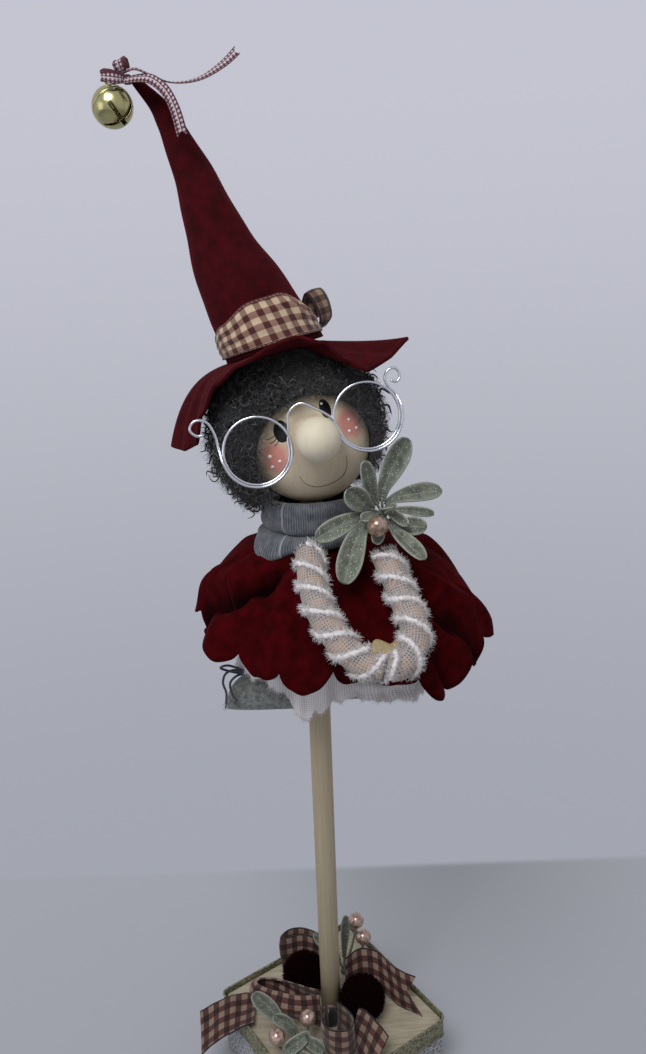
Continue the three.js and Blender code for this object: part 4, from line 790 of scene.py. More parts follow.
def toned(name, dark, light, roughness, sheen=0.3):
    """Hair or yarn whose shade runs from dark to light with the mesh's tone."""
    material, tree, shader = finish(name, light, roughness, Sheen_Weight=sheen)
    tone = add(tree, "Attribute", attribute_name="tone").outputs["Fac"]
    coat(tree, shader, tone, light, dark)
    fuzz = {"Vector": add(tree, "TexCoord").outputs["Object"], "Scale": 900, "Detail": 4}
    roughen(tree, shader, add(tree, "TexNoise", fuzz), 0.6, 0.0004)
    return material


def wig_hairs(count, low, high, brim, face):
    """Random roots at a share low to high of the wig's radii, below the brim and clear of face and scarf."""
    share = rng.uniform(low, high, count)
    way = unit(rng.normal(size=(count, 3)))
    points = HAIR_CENTRE + way * HAIR_RADII * share[:, None]
    free = (np.hypot(points[:, 0], points[:, 1]) > SCARF_REACH) | (points[:, 2] > SCARF_TOP)
    free &= points[:, 2] > HAIR_FOOT
    stay = (under_brim(points) > brim) & (in_face(points) > face) & free
    return way[stay], points[stay]


def blotch(points):
    """Clouds of lighter and darker hair, 0 to 1, some 12 mm across, lighter towards the viewer's right, with
    painted shade under the brim.
    """
    x, y, z = points.T / 1000
    cloud = np.sin(430 * x + 2 + 3 * np.sin(260 * z)) * np.sin(390 * z + 1 + 2 * np.sin(300 * y))
    cloud += 0.4 * np.sin(700 * y)
    shade = np.clip(under_brim(points) / 16, 0.12, 1)  # painted shade: the wig is darkest just under the brim
    return (0.42 + 0.34 * cloud) * shade * np.clip(0.8 + points[:, 0] / 45, 0.55, 1.5)


def tucked(roots, ways, lengths, clear=1.2):
    """The strands that stay below the brim along their whole length."""
    tips = roots + unit(ways) * lengths[:, None]
    stay = (under_brim(tips) > clear) & (under_brim((roots + tips) / 2) > clear)
    return roots[stay], ways[stay], lengths[stay]


mohair = toned("charcoal_mohair", "#050506", "#56575d", 0.95, 0.35)
share, turn = steps((0, 1, 60), (0, 2 * np.pi, 145))
rim = unit(face_point(28.6 * np.cos(turn[0]), -OPENING_DROP + 27.7 * np.sin(turn[0])) - HEAD_CENTRE)
back = unit(on_face([[0, 1, 0.1]])[0] - HEAD_CENTRE)
arc = np.arccos(rim @ back)[None, :, None]
s = share[..., None]
way = (np.sin((1 - s) * arc) * rim[None] + np.sin(s * arc) * back) / np.sin(arc)
shift = (HEAD_CENTRE - HAIR_CENTRE) / HAIR_RADII
ray = way / HAIR_RADII
a, b, c = (ray**2).sum(-1), (ray * shift).sum(-1), (shift**2).sum() - 1
far = (-b + np.sqrt(np.maximum(b**2 - a * c, 0))) / a  # from the head's middle out to the wig's ellipsoid
rise = np.minimum(1, share / 0.1)
lumps = np.sin(7 * turn + 31 * share) * np.sin(23 * share)
lumps += 0.8 * np.sin(15 * turn - 9 * share) * np.sin(41 * share + 1)
far = PAD_INSIDE + (far - 33.2) * rise * (2 - rise) + 1.5 * lumps * rise
pad = HEAD_CENTRE + way * np.maximum(far, PAD_INSIDE)[..., None]
pad -= np.maximum(0, 2.2 - under_brim(pad))[..., None] * HAT_LEAN[:, 2]
near = np.hypot(pad[..., 0], pad[..., 1]) < SCARF_REACH
pad[..., 2] = np.maximum(pad[..., 2], np.where(near, SCARF_TOP + 0.2, HAIR_FOOT + 1))
wig = piece("mohair_pad", [patch(pad, tone=0.12)], mohair, "hair")

way, roots = wig_hairs(CURLS, 0.9, 0.97, 3.4, 1.1)
down = np.array([0, 0, -1.0]) + way * way[:, 2:3]
headings = down + 0.9 * rng.normal(size=way.shape) + 0.25 * way
roots, headings, lengths = tucked(roots, headings, rng.uniform(5, 10, len(roots)), 2.6)
count = len(roots)
tones = np.clip(blotch(roots) * 0.5 + rng.normal(0, 0.05, count), 0.0, 1)
radius = rng.uniform(0.35, 0.7, count)
curl, turns = rng.uniform(0.9, 2.0, count), rng.uniform(0.9, 1.7, count)
locks = strands(roots, headings, lengths, radius, curl, turns, tones * 0.7, 13, coil=True)
piece("mohair_locks", [locks], mohair)
for layer, depth in (("inner", 0.92), ("middle", 0.96), ("outer", 1.0)):
    way, roots = wig_hairs(FRIZZ, depth - 0.03, depth + 0.03, 2.4, depth - 0.03)
    left = np.clip(-way[:, 0], 0, 1)
    lengths = rng.uniform(2.0, 4.6, len(roots)) * (1 + 1.0 * left * rng.random(len(roots)))
    ways = 0.4 * way + rng.normal(size=way.shape)
    roots, ways, lengths = tucked(roots, ways, lengths)
    count = len(roots)
    tones = np.clip(blotch(roots) + 0.04 + rng.normal(0, 0.08, count), 0.02, 1)
    curl, turns = rng.uniform(0.5, 1.4, count), rng.uniform(0.8, 1.4, count)
    frizz = strands(roots, ways, lengths, 0.075, curl, turns, tones, 5)
    piece(f"mohair_frizz_{layer}", [frizz], mohair)

# Scarf: a strip of grey ribbed wool wound round the neck, with its lower edge folded up on the outside. One
# pale thread runs down it.
grey_wool, tree, shader = finish("grey_ribbed_wool", "#767b84", 0.95, Sheen_Weight=0.2)
cloth = add(tree, "SeparateXYZ", {0: add(tree, "UVMap", uv_map="cloth")}).outputs["X"]
rib = add(tree, "Math", {0: cloth, 1: 5.2}, operation="MULTIPLY")  # a rib every 1.2 mm
rib = add(tree, "Math", {0: rib}, operation="SINE")
slub = {"Vector": add(tree, "TexCoord").outputs["Object"], "Scale": 260, "Detail": 6}
slub = add(tree, "TexNoise", slub)
fleck = add(tree, "Math", {0: rib, 1: 0.2, 2: slub}, operation="MULTIPLY_ADD")
share = add(tree, "MapRange", {0: fleck, 1: 0.3, 2: 0.7})
coat(tree, shader, share, "#71757d", "#45484f")
off = add(tree, "Math", {0: cloth, 1: -14.6}, operation="SUBTRACT")  # the pale thread's place
off = add(tree, "Math", {0: off}, operation="ABSOLUTE")
thread = add(tree, "MapRange", {0: off, 1: 0.25, 2: 0.6, 3: 0.75, 4: 0.0})
coat(tree, shader, thread, "#a2a5ac")
roughen(tree, shader, fleck, 0.5, 0.0006)


def wound(profile, ripple):
    """A strip wound round the neck: a closed (radius, height) profile, rippled in mm by azimuth and share."""
    share = np.linspace(0, 1, len(profile))[None]
    azimuth = np.linspace(-np.pi, np.pi, 241)[:, None]
    push, lift = ripple(azimuth, share)
    grid = from_front(azimuth, profile[None, :, 0] + push, profile[None, :, 1] + lift)
    return patch(grid, azimuth * 25, run_of(profile)[None])


def wrap_ripple(azimuth, share):
    """Slack waves between the edges, and a rim that rises and falls by half a millimetre."""
    wave = np.sin(7 * azimuth + 9 * share) + 0.7 * np.sin(3 * azimuth - 14 * share)
    push = 0.45 * np.sin(np.pi * share) * wave + 0.25 * np.sin(13 * azimuth + 3 * share)
    return push, 0.5 * np.sin(2 * azimuth + 1) * share + 0 * azimuth


def fold_ripple(azimuth, share):
    """Small waves, and a corner at the left that hangs 7.5 mm lower on the cape's shoulder."""
    wave = np.sin(np.pi * share) * (0.7 * np.sin(5 * azimuth + 1) + 0.4 * np.sin(12 * azimuth + 6 * share))
    corner = hump(azimuth, -0.92, 0.4) * hump(share, 0.57, 0.15)
    return wave + 4.6 * corner, 0.5 * np.sin(np.pi * share) * np.sin(4 * azimuth) - 7.5 * corner


WRAP = spline([(9, 363), (20.5, 360.3), (23.6, 361), (24.8, 364.5), (24.5, 368.5), (24.9, 372),
    (24.2, 374.6), (22.4, 375.6), (20.6, 374.8), (19.3, 373)], 40)
wrap = piece("wool_scarf_wrap", [wound(WRAP, wrap_ripple)], grey_wool, "scarf_wrap", thick=1.0)
FOLD = spline([(12, 359.6), (20, 359.4), (25.6, 359), (27.6, 356.8), (27.4, 354.8), (25.8, 353.6),
    (21, 353.8), (12, 354.6)], 48)
fold = piece("wool_scarf_fold", [wound(FOLD, fold_ripple)], grey_wool, "scarf_fold", thick=1.0)

# Body: a pad of polyester wadding wound on the stick under the cape, which nobody sees unless they look
# up from below.
wadding, tree, shader = finish("polyester_wadding", "#e2dfd8", 1.0, Sheen_Weight=0.3)
puff = mottle(tree, shader, 120, "#d2cfc8", "#efece6", detail=6)
roughen(tree, shader, puff, 0.8, 0.0015)
CORE = spline([(6.3, 303.2), (20, 302.9), (33, 304), (37, 309.5), (37.8, 319), (34, 333), (25, 343),
    (15.5, 348.6), (8.5, 350.2), (6.3, 350.3)], 60)
points, *rest = lathe(CORE, 120)
out = points[:, :2] / np.maximum(np.linalg.norm(points[:, :2], axis=1), 1)[:, None]
turn = np.arctan2(points[:, 1], points[:, 0])
points[:, :2] -= out * (0.35 + 0.3 * np.sin(9 * turn + points[:, 2] / 3) + 0.2 * np.sin(17 * turn))[:, None]
core = piece("wadding_core", [(points, *rest)], wadding, "body_core")

# Cape: a round of dark wine velvet with a scalloped edge, cut free-hand, drawn in at the neck. It stands
# over the body in a dome and falls in soft folds, deepest at the left of the arms.
CAPE_HOLE, FLAT_RADIUS = 9.5, 75
# Azimuth from the front in degrees, reach, depth of the hem, and how domed the cloth is on its way there
CAPE = [(-130, 70, 40.5, 2.6), (-100, 64, 43.5, 2.8), (-66, 61, 47, 2.8), (-42, 60, 52.5, 2.8),
    (-30, 59.5, 53.5, 2.8), (-12, 60, 59.5, 2.8), (15, 63, 53.5, 2.8), (34, 67, 58.5, 3),
    (50, 76, 70.5, 3.4), (68, 88, 60.5, 3.8), (90, 93, 58.5, 3.8), (135, 80, 50.5, 3.2),
    (180, 72, 47.5, 2.8)]

# Where two scallops of the hem meet, in degrees of azimuth: they are 10 to 26 degrees wide
NOTCHES = np.array([-160, -135, -110, -88, -66, -42, -18, 8, 25, 42, 54.5, 65, 79, 99, 118, 138, 158, 178,
    200])

# Creases and crests of the velvet: half width and height in mm, then places along it as (azimuth, v)
CREASES = [
    (4.2, -11, (-20, 0.36), (-37, 0.63), (-60, 0.80), (-84, 0.95)),
    (7, 5, (-52, 0.56), (-70, 0.70), (-94, 0.86)), (9, 2, (-30, 0.7), (-52, 0.9), (-62, 1.0)),
    (11, -2, (4, 0.5), (8, 1.0)),
    (3.4, 5, (58, 0.66), (71, 0.82), (86, 0.96)), (3, -6.5, (52, 0.7), (62, 0.86), (74, 0.99)),
    (3, 3.5, (50, 0.74), (59, 0.88), (64, 0.99)), (3, -4, (44, 0.72), (51, 0.88), (55, 0.99)),
    (5, -4, (90, 0.5), (101, 1.0)), (7, 3, (105, 0.5), (112, 1.0)), (5, -5, (121, 0.4), (128, 1.0)),
    (8, 3, (140, 0.4), (148, 1.0)), (6, -5, (158, 0.4), (166, 1.0)), (8, 3, (180, 0.5), (184, 1.0)),
    (6, -5, (-150, 0.4), (-154, 1.0)), (8, 3, (-134, 0.5), (-130, 1.0)), (5, -4.5, (-118, 0.5), (-111, 1.0)),
]


def crease_height(azimuth, v):
    """Sum of bell-shaped ridges and valleys about lines on the flat cloth, each fading in at its neck end."""
    x, y = FLAT_RADIUS * v * np.sin(azimuth), FLAT_RADIUS * v * np.cos(azimuth)
    total = 0 * x
    for wide, high, *stops in CREASES:
        turn, far = np.array(stops, float).T
        turn = np.radians(turn)
        line = spline((FLAT_RADIUS * far * np.stack([np.sin(turn), np.cos(turn), 0 * turn])).T, 80)
        apart = np.hypot(x[..., None] - line[:, 0], y[..., None] - line[:, 1])
        fade = np.minimum(1, apart.argmin(-1) / 24)
        total += high * fade * hump(apart.min(-1), 0, wide)
    return total


wine_velvet = felt("wine_velvet", "#2b0104", "#470409", "#980a1c", 0.17, 0.05)
v, azimuth = steps((0, 1, 60), (-np.pi, np.pi, 577))
crease = crease_height(azimuth, v)
radius, depth, dome = around(CAPE, azimuth)
here = (np.degrees(azimuth) + 160) % 360 - 160
k = np.clip(np.searchsorted(NOTCHES, here, "right") - 1, 0, len(NOTCHES) - 2)
wide = NOTCHES[k + 1] - NOTCHES[k]
scallop = np.sin(np.pi * np.clip((here - NOTCHES[k]) / wide, 0, 1)) ** 0.5
share = v * (1 - 0.0027 * wide * (1 - scallop))  # wide scallops are also deep
fold = 4.5 * (0.6 * np.cos(7 * azimuth + 0.4) + 0.4 * np.cos(11 * azimuth - 2.2)) * share**2
out = CAPE_HOLE + (radius - CAPE_HOLE) * share + fold + 0.6 * crease
drape = from_front(azimuth, out, NECK - depth * share**dome + fold / 3 + 0.7 * crease)
small = 0.5 * np.sin(23 * azimuth + 6 * v) + 0.35 * np.sin(41 * azimuth - 9 * v)
small += 0.5 * np.sin(3 * azimuth + 13 * v)
drape[..., 2] += 0.7 * small * v**1.5
# Painted shade: the velvet darkens along its creases, carried by the mesh's tone.
painted_crease_shade = np.clip(-0.14 * crease, 0, 0.95).ravel()
drape = [patch(drape, azimuth * 60, v * 80, painted_crease_shade)]
cape = piece("velvet_cape", drape, wine_velvet, "cape", thick=1.6)

# Petticoat: white cotton gauze gathered round the body under the cape. It is torn, not cut, so its hem is
# frayed; a flap hangs lowest at the front and the rest covers the legs.
WAIST_RADIUS, WAIST_DROP = 39.4, 34.5
# Azimuth from the front in degrees, reach and depth of the hem
HEM = [(-120, 42, 61.5), (-75, 42, 62), (-45, 45, 64.5), (-23, 43, 68), (-16, 41, 83), (-9, 40, 85),
    (-1, 41, 79), (9, 43, 73.5), (22, 46, 71), (38, 52, 74), (56, 60, 77), (85, 60, 75), (125, 52, 70.5),
    (180, 45, 64.5)]


def petticoat_point(azimuth, v):
    """The gauze's middle, from its gathered top at v = 0 to its torn hem, in folds and small wrinkles."""
    radius, depth = around(HEM, azimuth)
    roll = hump(np.degrees(azimuth), 42, 20)  # the right side is rolled up in flat wrinkles
    fold = 1.5 * np.sin(9 * azimuth + 1.6 * np.sin(3 * azimuth + 1))
    fold = fold + 1.0 * np.sin(19 * azimuth + 2 * np.sin(2 * azimuth))
    fold = (fold * (1 - roll) + 0.5 * np.sin(37 * azimuth + 5 * v) + 0.6 * np.sin(13 * v + 4 * azimuth)) * v
    fold = fold + roll * v * (2.5 * np.sin(np.pi * v) + 0.9 * np.sin(31 * v + 3 * azimuth))
    out = WAIST_RADIUS + (radius - WAIST_RADIUS) * v + fold
    drop = WAIST_DROP + (depth - WAIST_DROP) * v
    drop = drop + 0.7 * v * np.sin(29 * azimuth) + 0.4 * v * np.sin(53 * azimuth + 1)
    return from_front(azimuth, out, NECK - drop)


def gauze(name, light, gap, pitch):
    """Open cotton gauze: threads every `pitch` mm both ways, drawn coarse to show, over darker gaps."""
    material, tree, shader = finish(name, light, 0.95, Sheen_Weight=0.25)
    cloth = add(tree, "SeparateXYZ", {0: add(tree, "UVMap", uv_map="cloth")})
    waver = {"Vector": add(tree, "TexCoord").outputs["Object"], "Scale": 200}
    waver = add(tree, "TexNoise", waver)
    lines = []
    for axis in ("X", "Y"):
        bent = add(tree, "Math", {0: waver, 1: 1.2, 2: cloth.outputs[axis]}, operation="MULTIPLY_ADD")
        lines.append(add(tree, "Math", {0: bent, 1: pitch / 2}, operation="PINGPONG"))
    near = add(tree, "Math", {0: lines[0], 1: lines[1]}, operation="MINIMUM")
    share = add(tree, "MapRange", {0: near, 1: pitch * 0.14, 2: pitch * 0.34})
    mix = coat(tree, shader, share, gap, light)
    roughen(tree, shader, share, -0.5, 0.0005)
    return material, tree, mix


white_gauze = gauze("white_cotton_gauze", "#efebed", "#b3afb1", 1.15)[0]
v, azimuth = steps((0, 1, 34), (-np.pi, np.pi, 481))
skirt = [patch(petticoat_point(azimuth, v), azimuth * 45, v * 45)]
skirt = piece("gauze_petticoat", skirt, white_gauze, "petticoat", thick=0.5)
FRAYS = 2600
hem_at = petticoat_point(rng.uniform(-np.pi, np.pi, FRAYS), 1.0)
ways = (0, 0, -1.0) + 0.5 * rng.normal(size=hem_at.shape)
lengths = rng.uniform(0.8, 3.2, FRAYS)
torn = strands(hem_at + (0, 0, 0.6), ways, lengths, 0.1, 0.3, 0.8, rng.uniform(0.4, 1, FRAYS), 5)
cotton_thread = toned("frayed_white_cotton", "#b3adb0", "#f7f3f5", 0.95)
piece("petticoat_torn_hem", [torn], cotton_thread)

# Arms: cores of tan cloth wound with a strip of white cotton net, whose rolled and frayed edges make white
# spirals. They hang from the shoulders over the cape and meet in front.
ARM_RADIUS, WRAP_PITCH = 6.5, 23.0  # the strip is 11.5 mm wide, so its two edges make two spirals
EDGE_WIDE, EDGE_HIGH, EDGE_STEPS, EDGE_HAIRS, END_HAIRS = 1.5, 1.05, 460, 2000, 260
net_over_tan, tree, mix = gauze("white_net_over_tan_cloth", "#aea5a4", "#a88868", 1.3)
# The net's gaps show the tan cloth in patches, with painted shade, dark grey, between them.
patchy = {"Vector": add(tree, "TexCoord").outputs["Object"], "Scale": 150, "Detail": 2}
patchy = add(tree, "MapRange", {0: add(tree, "TexNoise", patchy), 1: 0.44, 2: 0.56})
tan_or_shaded_gaps = {0: patchy, 6: linear("#4e4748"), 7: linear("#a67c4f")}
tree.links.new(add(tree, "Mix", tan_or_shaded_gaps, data_type="RGBA").outputs[2], mix.inputs[7])
ARMS = {
    "arm_left": ([(-1.6, -34, 355), (-1.2, -38.6, 352.9), (-0.2, -50, 344), (3.2, -60, 335.3),
        (9.6, -67, 326.3), (16.5, -72, 319.5), (23.4, -74.5, 315.5), (31.0, -75, 313.8)], 2.2),
    "arm_right": ([(34.5, -35, 353), (38.6, -45.5, 345), (42.2, -53.5, 336), (45, -62, 330.1),
        (45.3, -67.5, 323.6), (42.6, -72, 318.5), (38, -74.5, 315), (31.6, -75, 313.8)], 0.4),
}


def spiral(points, phase):
    """The helix of a strip's edge round an arm, the outward direction there, and the way along the arm."""
    path = spline(points, EDGE_STEPS)
    along, normal, other = beside(path)
    angle = (phase - 2 * np.pi * run_of(path) / WRAP_PITCH)[:, None]
    out = normal * np.cos(angle) + other * np.sin(angle)
    return path + out * (ARM_RADIUS + 0.3), out, along


def spread(low, high, count):
    """A column of random numbers, one a hair."""
    return rng.uniform(low, high, count)[:, None]


turn = np.linspace(0, 2 * np.pi, 11)[None, :, None]
step = np.arange(EDGE_STEPS)[:, None, None]
lump = 1 + 0.14 * np.sin(step * 0.9) + 0.12 * np.sin(step * 0.37)
close = np.sin(np.linspace(0, np.pi, EDGE_STEPS))[:, None, None] ** 0.06
for name, (points, phase) in ARMS.items():
    wide = np.full(140, ARM_RADIUS + 0.1)
    wide[:3] = 1, 4.6, 5.8
    wide[-3:] = 5.8, 4.6, 1
    core = tube(spline(points, 140), wide, 48)
    arm = piece(f"{name}_netting", [core], net_over_tan, name, "arms")
    frayed = []
    for start in (phase, phase + np.pi):
        middle, out, along = spiral(points, start)
        across = EDGE_WIDE * np.cos(turn) * along[:, None] + EDGE_HIGH * np.sin(turn) * out[:, None]
        frayed.append(patch(middle[:, None] + lump * close * across, tone=0.72))
        at = rng.integers(4, EDGE_STEPS - 4, EDGE_HAIRS)
        sign = rng.choice([-1, 1], EDGE_HAIRS)[:, None]
        where = middle[at] + along[at] * sign * spread(0.3, 1.3, EDGE_HAIRS)
        ways = along[at] * sign * spread(0.2, 1.2, EDGE_HAIRS) + out[at] * spread(0.2, 1.3, EDGE_HAIRS)
        ways += 0.45 * rng.normal(size=ways.shape)
        lengths = rng.uniform(1.2, 4.0, EDGE_HAIRS)
        frayed.append(strands(where, ways, lengths, 0.14, 0.4, 0.8, rng.uniform(0.2, 1, EDGE_HAIRS), 5))
    for end, heading in ((0, -1), (-1, 1)):
        turn_way = rng.normal(size=(END_HAIRS, 3))
        turn_way = unit(turn_way - np.outer(turn_way @ along[end], along[end]))
        here = spline(points, 3)[end] + turn_way * spread(3.5, 6.2, END_HAIRS)
        there = heading * along[end] + 0.5 * turn_way + 0.3 * rng.normal(size=(END_HAIRS, 3))
        lengths = rng.uniform(1, 3, END_HAIRS)
        frayed.append(strands(here, there, lengths, 0.14, 0.4, 0.8, rng.uniform(0.3, 1, END_HAIRS), 5))
    piece(f"{name}_frayed_edge", frayed, cotton_thread, body="arms")


def bulged(angle_part, power):
    """A cosine or sine drawn out towards a square: its sign kept, its size raised to a power."""
    return np.sign(angle_part) * np.abs(angle_part) ** power


def closed_patch(place, rows, columns):
    """A closed surface from place(t, angle), whose ends at t = 0 and 1 draw in to a point."""
    t, angle = steps((0, 1, rows), (0, 2 * np.pi, columns + 1))
    grid = place(t[..., None], angle[..., None])
    for end in (0, -1):
        grid[end] = grid[end].mean(0)
    return patch(grid, angle * 8, t * 40)


# Hands: two flat mittens of pale limewood, sawn and sanded, whose tips meet between the arms' ends.
HAND_LONG, HAND_HALF, HAND_THICK = 15, 4.2, 4.2
limewood = grain("pale_limewood", "#8f7d5c", "#af9e78", 1.4, 22, 0.55)[0]
HANDS = {
    "hand_left": ((25.0, -71.2, 323.4), (38.8, -74.2, 319.6)),
    "hand_right": ((44.0, -67.5, 323.2), (30.5, -71.5, 318.6)),
}
for name, (wrist, tip) in HANDS.items():
    along = unit(np.array(tip) - wrist)
    across = np.cross((0, -0.5, 0.87), along)
    through = np.cross(along, across)

    def mitten(t, angle):
        """A flat paddle: round in section by bulged sines, widest near its wrist, rounded at both ends."""
        swell = (1.1 - 0.45 * t) * np.maximum(0, 1 - np.abs(2 * t - 1) ** 6) ** 0.5
        thick = HAND_THICK / 2 * np.minimum(1, swell) * bulged(np.sin(angle), 0.7)
        middle = np.array(wrist) + along * HAND_LONG * t
        return middle + across * HAND_HALF * swell * np.cos(angle) + through * thick

    piece(f"{name}_mitten", [closed_patch(mitten, 48, 40)], limewood, name, "arms")

# Legs and boots: legs of rolled gauze end in boots of grey felt with a fine silver glitter, sewn down the
# front. They hang from the body, turned outwards.
glitter_felt, tree, shader = finish("grey_glitter_felt", "#7c7e7c", 0.9, Sheen_Weight=0.2)
clouds = mottle(tree, shader, 500, "#565957", "#8f9290", 0.3, 0.7, 8)
flakes = {"Vector": add(tree, "TexCoord").outputs["Object"], "Scale": 1300}  # flakes of 0.4 mm
speck = add(tree, "TexVoronoi", flakes)
spark = add(tree, "MapRange", {0: speck.outputs["Distance"], 1: 0.1, 2: 0.22, 3: 1.0, 4: 0.0})
pick = add(tree, "SeparateXYZ", {0: speck.outputs["Color"]})
bright = add(tree, "Math", {0: pick.outputs["X"], 1: 0.62}, operation="GREATER_THAN")
glint = add(tree, "Math", {0: spark, 1: bright}, operation="MULTIPLY")
coat(tree, shader, glint, "#d8dcd8")
roughen(tree, shader, clouds, 0.7, 0.0006)
slate_cord = toned("slate_waxed_cord", "#22222e", "#4a4a5c", 0.6)
LEG_RADIUS, LEG_TOP, SOLE, BOOT_LONG, BOOT_WIDE, BOOT_TALL = 4.6, 298.1, NECK - 87.7, 42, 8.5, 21.0
# The way its toe points, its heel's two places, and its lace's share along it, way forward and way down
BOOTS = {"left": (-1, -6, -19, 0.72, 3, 1.2), "right": (1, 8, -11, 0.5, 2, 0.4)}
# The lace's tail, its short tail and its loop, from the knot, on the right boot
LACE = [[(-3, 2, 1.6), (0, 0, 0.2), (6, -3, 4.4), (10.5, -4.6, 3.2), (12, -6, -1), (10.6, -7, -6.4),
    (11, -7.6, -12)], [(0, 0, 0.4), (5, -2.4, 0.8), (8.6, -3.6, -2.6), (8, -4.8, -8), (6.2, -5.6, -11.4)],
    [(0, 0, 0.6), (4.5, -3.6, 5.8), (9.6, -4.8, 8), (13, -3.6, 6.2), (8, -1.2, 2.6), (0, 0, 0.2)]]
for name, (side, heel_x, forward, lace_at, lace_front, lace_drop) in BOOTS.items():
    body = f"{name}_leg"
    round_off = np.radians(np.linspace(0, 90, 12))
    profile = [(0, SOLE + BOOT_TALL + 0.3), (LEG_RADIUS, SOLE + BOOT_TALL + 0.3)]
    profile += list(zip(LEG_RADIUS * np.cos(round_off), LEG_TOP + LEG_RADIUS * np.sin(round_off)))
    leg = lathe(profile, 40, (side * 13, forward, 0))
    piece(f"{body}_roll", [leg], white_gauze, f"leg_{name}", body)

    def boot(t, angle):
        """A boot 42 mm long: a round heel, a tall middle and a toe that slopes down, flat below."""
        along = 0.5 - 0.5 * np.cos(np.pi * t)
        heel = np.sqrt(1 - (1 - np.minimum(1, along / 0.22)) ** 2)
        swell = heel * np.sqrt(np.maximum(0, 1 - np.maximum(0, (along - 0.5) / 0.5) ** 2))
        wide = BOOT_WIDE * (0.08 + 0.92 * swell)
        tall = BOOT_TALL * (0.12 + 0.88 * swell**0.9) / 2 * (1 + np.sin(angle))
        seam = 0.35 * hump(np.sin(angle), 1, 0.012)
        x = heel_x + side * BOOT_LONG * along + 0 * angle
        y = forward + wide * bulged(np.cos(angle), 0.7)
        return np.concatenate([x, y, SOLE + np.maximum(0.42 * (1 + np.cos(angle)), tall) - seam], -1)

    shell = [closed_patch(boot, 72, 96)]
    piece(f"{name}_felt_boot", shell, glitter_felt, f"boot_{name}", body)
    instep = SOLE + BOOT_TALL - lace_drop + 1.05
    knot = np.array([heel_x + side * lace_at * BOOT_LONG, forward - lace_front, instep])
    ties = [knot + np.array(tie) * (side, 1, 1) for tie in LACE]
    cords = [tube(spline(tie, 60), 0.62, 10, 0.4) for tie in ties]
    cords.append(tube(knot + np.array([[-1.1, 0, 0.2], [0, -0.3, 0.5], [1.1, 0, 0.3]]), 1.05, 14, 0.3))
    for tie in ties[:2]:
        ways = np.array([0, -0.1, -1.0]) + 0.4 * rng.normal(size=(26, 3))
        lengths = rng.uniform(2, 4.5, 26)
        cords.append(strands(np.tile(tie[-1], (26, 1)), ways, lengths, 0.14, 0.3, 0.8, rng.random(26), 5))
    piece(f"{name}_boot_lace", cords, slate_cord, f"boot_lace_{name}", body)

# Tip bow: narrow gingham ribbon, 5 mm wide with a white line down its middle, knotted round the bent tip. It
# has two short loops, one tail that drops in front of the felt and one that springs out to the right.
TIP = np.array([-75.9, 12.6, 569.2])
TIP_DYES = ("#c2b5bb", "#6f4252", "#664555", "#351019", "#4a1626")
tip_gingham = gingham("burgundy_white_gingham", 0.95, *TIP_DYES, 5, 0.25, 0.45)
# Places from the knot, ways across the ribbon, its width or widths, and the depth of its notch
TIP_RIBBONS = {
    "tip_loop_upper": ([(-0.6, -1.4, 2.7), (-1.6, -3, 4.6), (-2.3, -3.2, 7), (-2.6, -0.6, 8.6),
        (-2.2, 1.6, 7), (-1.5, 1.8, 4.6), (-0.4, 0.8, 2.7)], [(0.92, -0.1, 0.35)] * 7,
        (4.4, 6.6, 7, 4.4, 7, 6.6, 4.4), 0),
    "tip_loop_left": ([(-1, -2.9, 0), (-4.3, -6.2, 0.2), (-8.4, -7, 0.6), (-10.8, -5.8, 0.9),
        (-9.2, -4.6, 1.3), (-5.6, -4.2, 1), (-2.9, -3.2, 0.6)], [(0, 0.2, 1)] * 7,
        (4, 5.6, 5.8, 3.6, 5.8, 5.6, 4), 0),
    "tip_tail_short": ([(-0.5, -3.9, -1.2), (5, -5.4, -0.6), (11.4, -7.2, -1.2), (17.9, -9.2, -6.2),
        (22, -11.4, -14), (24.9, -13, -25.7)], [(0, 0.8, 0.6), (0.1, 0.7, 0.7), (0.4, 0.4, 0.8),
        (0.75, 0, 0.66), (0.95, 0, 0.3), (1, 0, 0.2)], 5, 2),
    "tip_tail_long": ([(1, -3.4, 3.2), (5, -4.4, 3.4), (11, -3.6, 1), (19.6, -0.4, -2), (32.3, 2, -0.4),
        (44, 4.6, 6.1), (50.2, 6.6, 11.6)], [(0, 0.9, 0.4), (0, 1, 0.2), (0, 1, 0), (0, 1, 0.1),
        (-0.1, 0.9, 0.35), (-0.4, 0.7, 0.6), (-0.5, 0.5, 0.7)], 5, 2),
}
for name, (points, sides, width, notch) in TIP_RIBBONS.items():
    strip = ribbon_patch(TIP + np.array(points), sides, width, 80, 9, notch, cup=0.35)
    made = piece(f"{name}_ribbon", [strip], tip_gingham, name, thick=0.35)
    if "tail" in name:
        route = (TIP + spline(points, 40)) / 1000


def pillow(centre, size, pleats, rows=24, columns=48):
    """A soft block of that size with round corners and shallow pleats down its sides: a tied knot."""
    low, turn = steps((-np.pi / 2, np.pi / 2, rows), (0, 2 * np.pi, columns + 1))
    bulge = 1 - pleats * (0.5 + 0.5 * np.cos(9 * turn + 2 * low)) * np.cos(low)
    flank, end = bulged(np.cos(low), 0.55) * bulge, bulged(np.sin(low), 0.55)
    unit_knot = np.stack([flank * bulged(np.cos(turn), 0.55), flank * bulged(np.sin(turn), 0.55), end], -1)
    grid = np.asarray(centre) + unit_knot * np.asarray(size) / 2
    return patch(grid, turn * size[0] / 2, low * size[2] / 2)


piece("tip_ribbon_knot", [pillow(TIP, (4.2, 4.6, 4.2), 0.1)], tip_gingham, "tip_knot")
STRAND = [(-79.15, 11.8, 570.4), (-81.4, 9.8, 570.4), (-83.8, 11.0, 570.4), (-83.8, 15.8, 570.4),
    (-81.4, 17.0, 570.4), (-79.15, 15.0, 570.4)]
piece("bell_ribbon_strand", [tube(spline(STRAND, 60), 0.75, 12)], tip_gingham, "bell_strand")

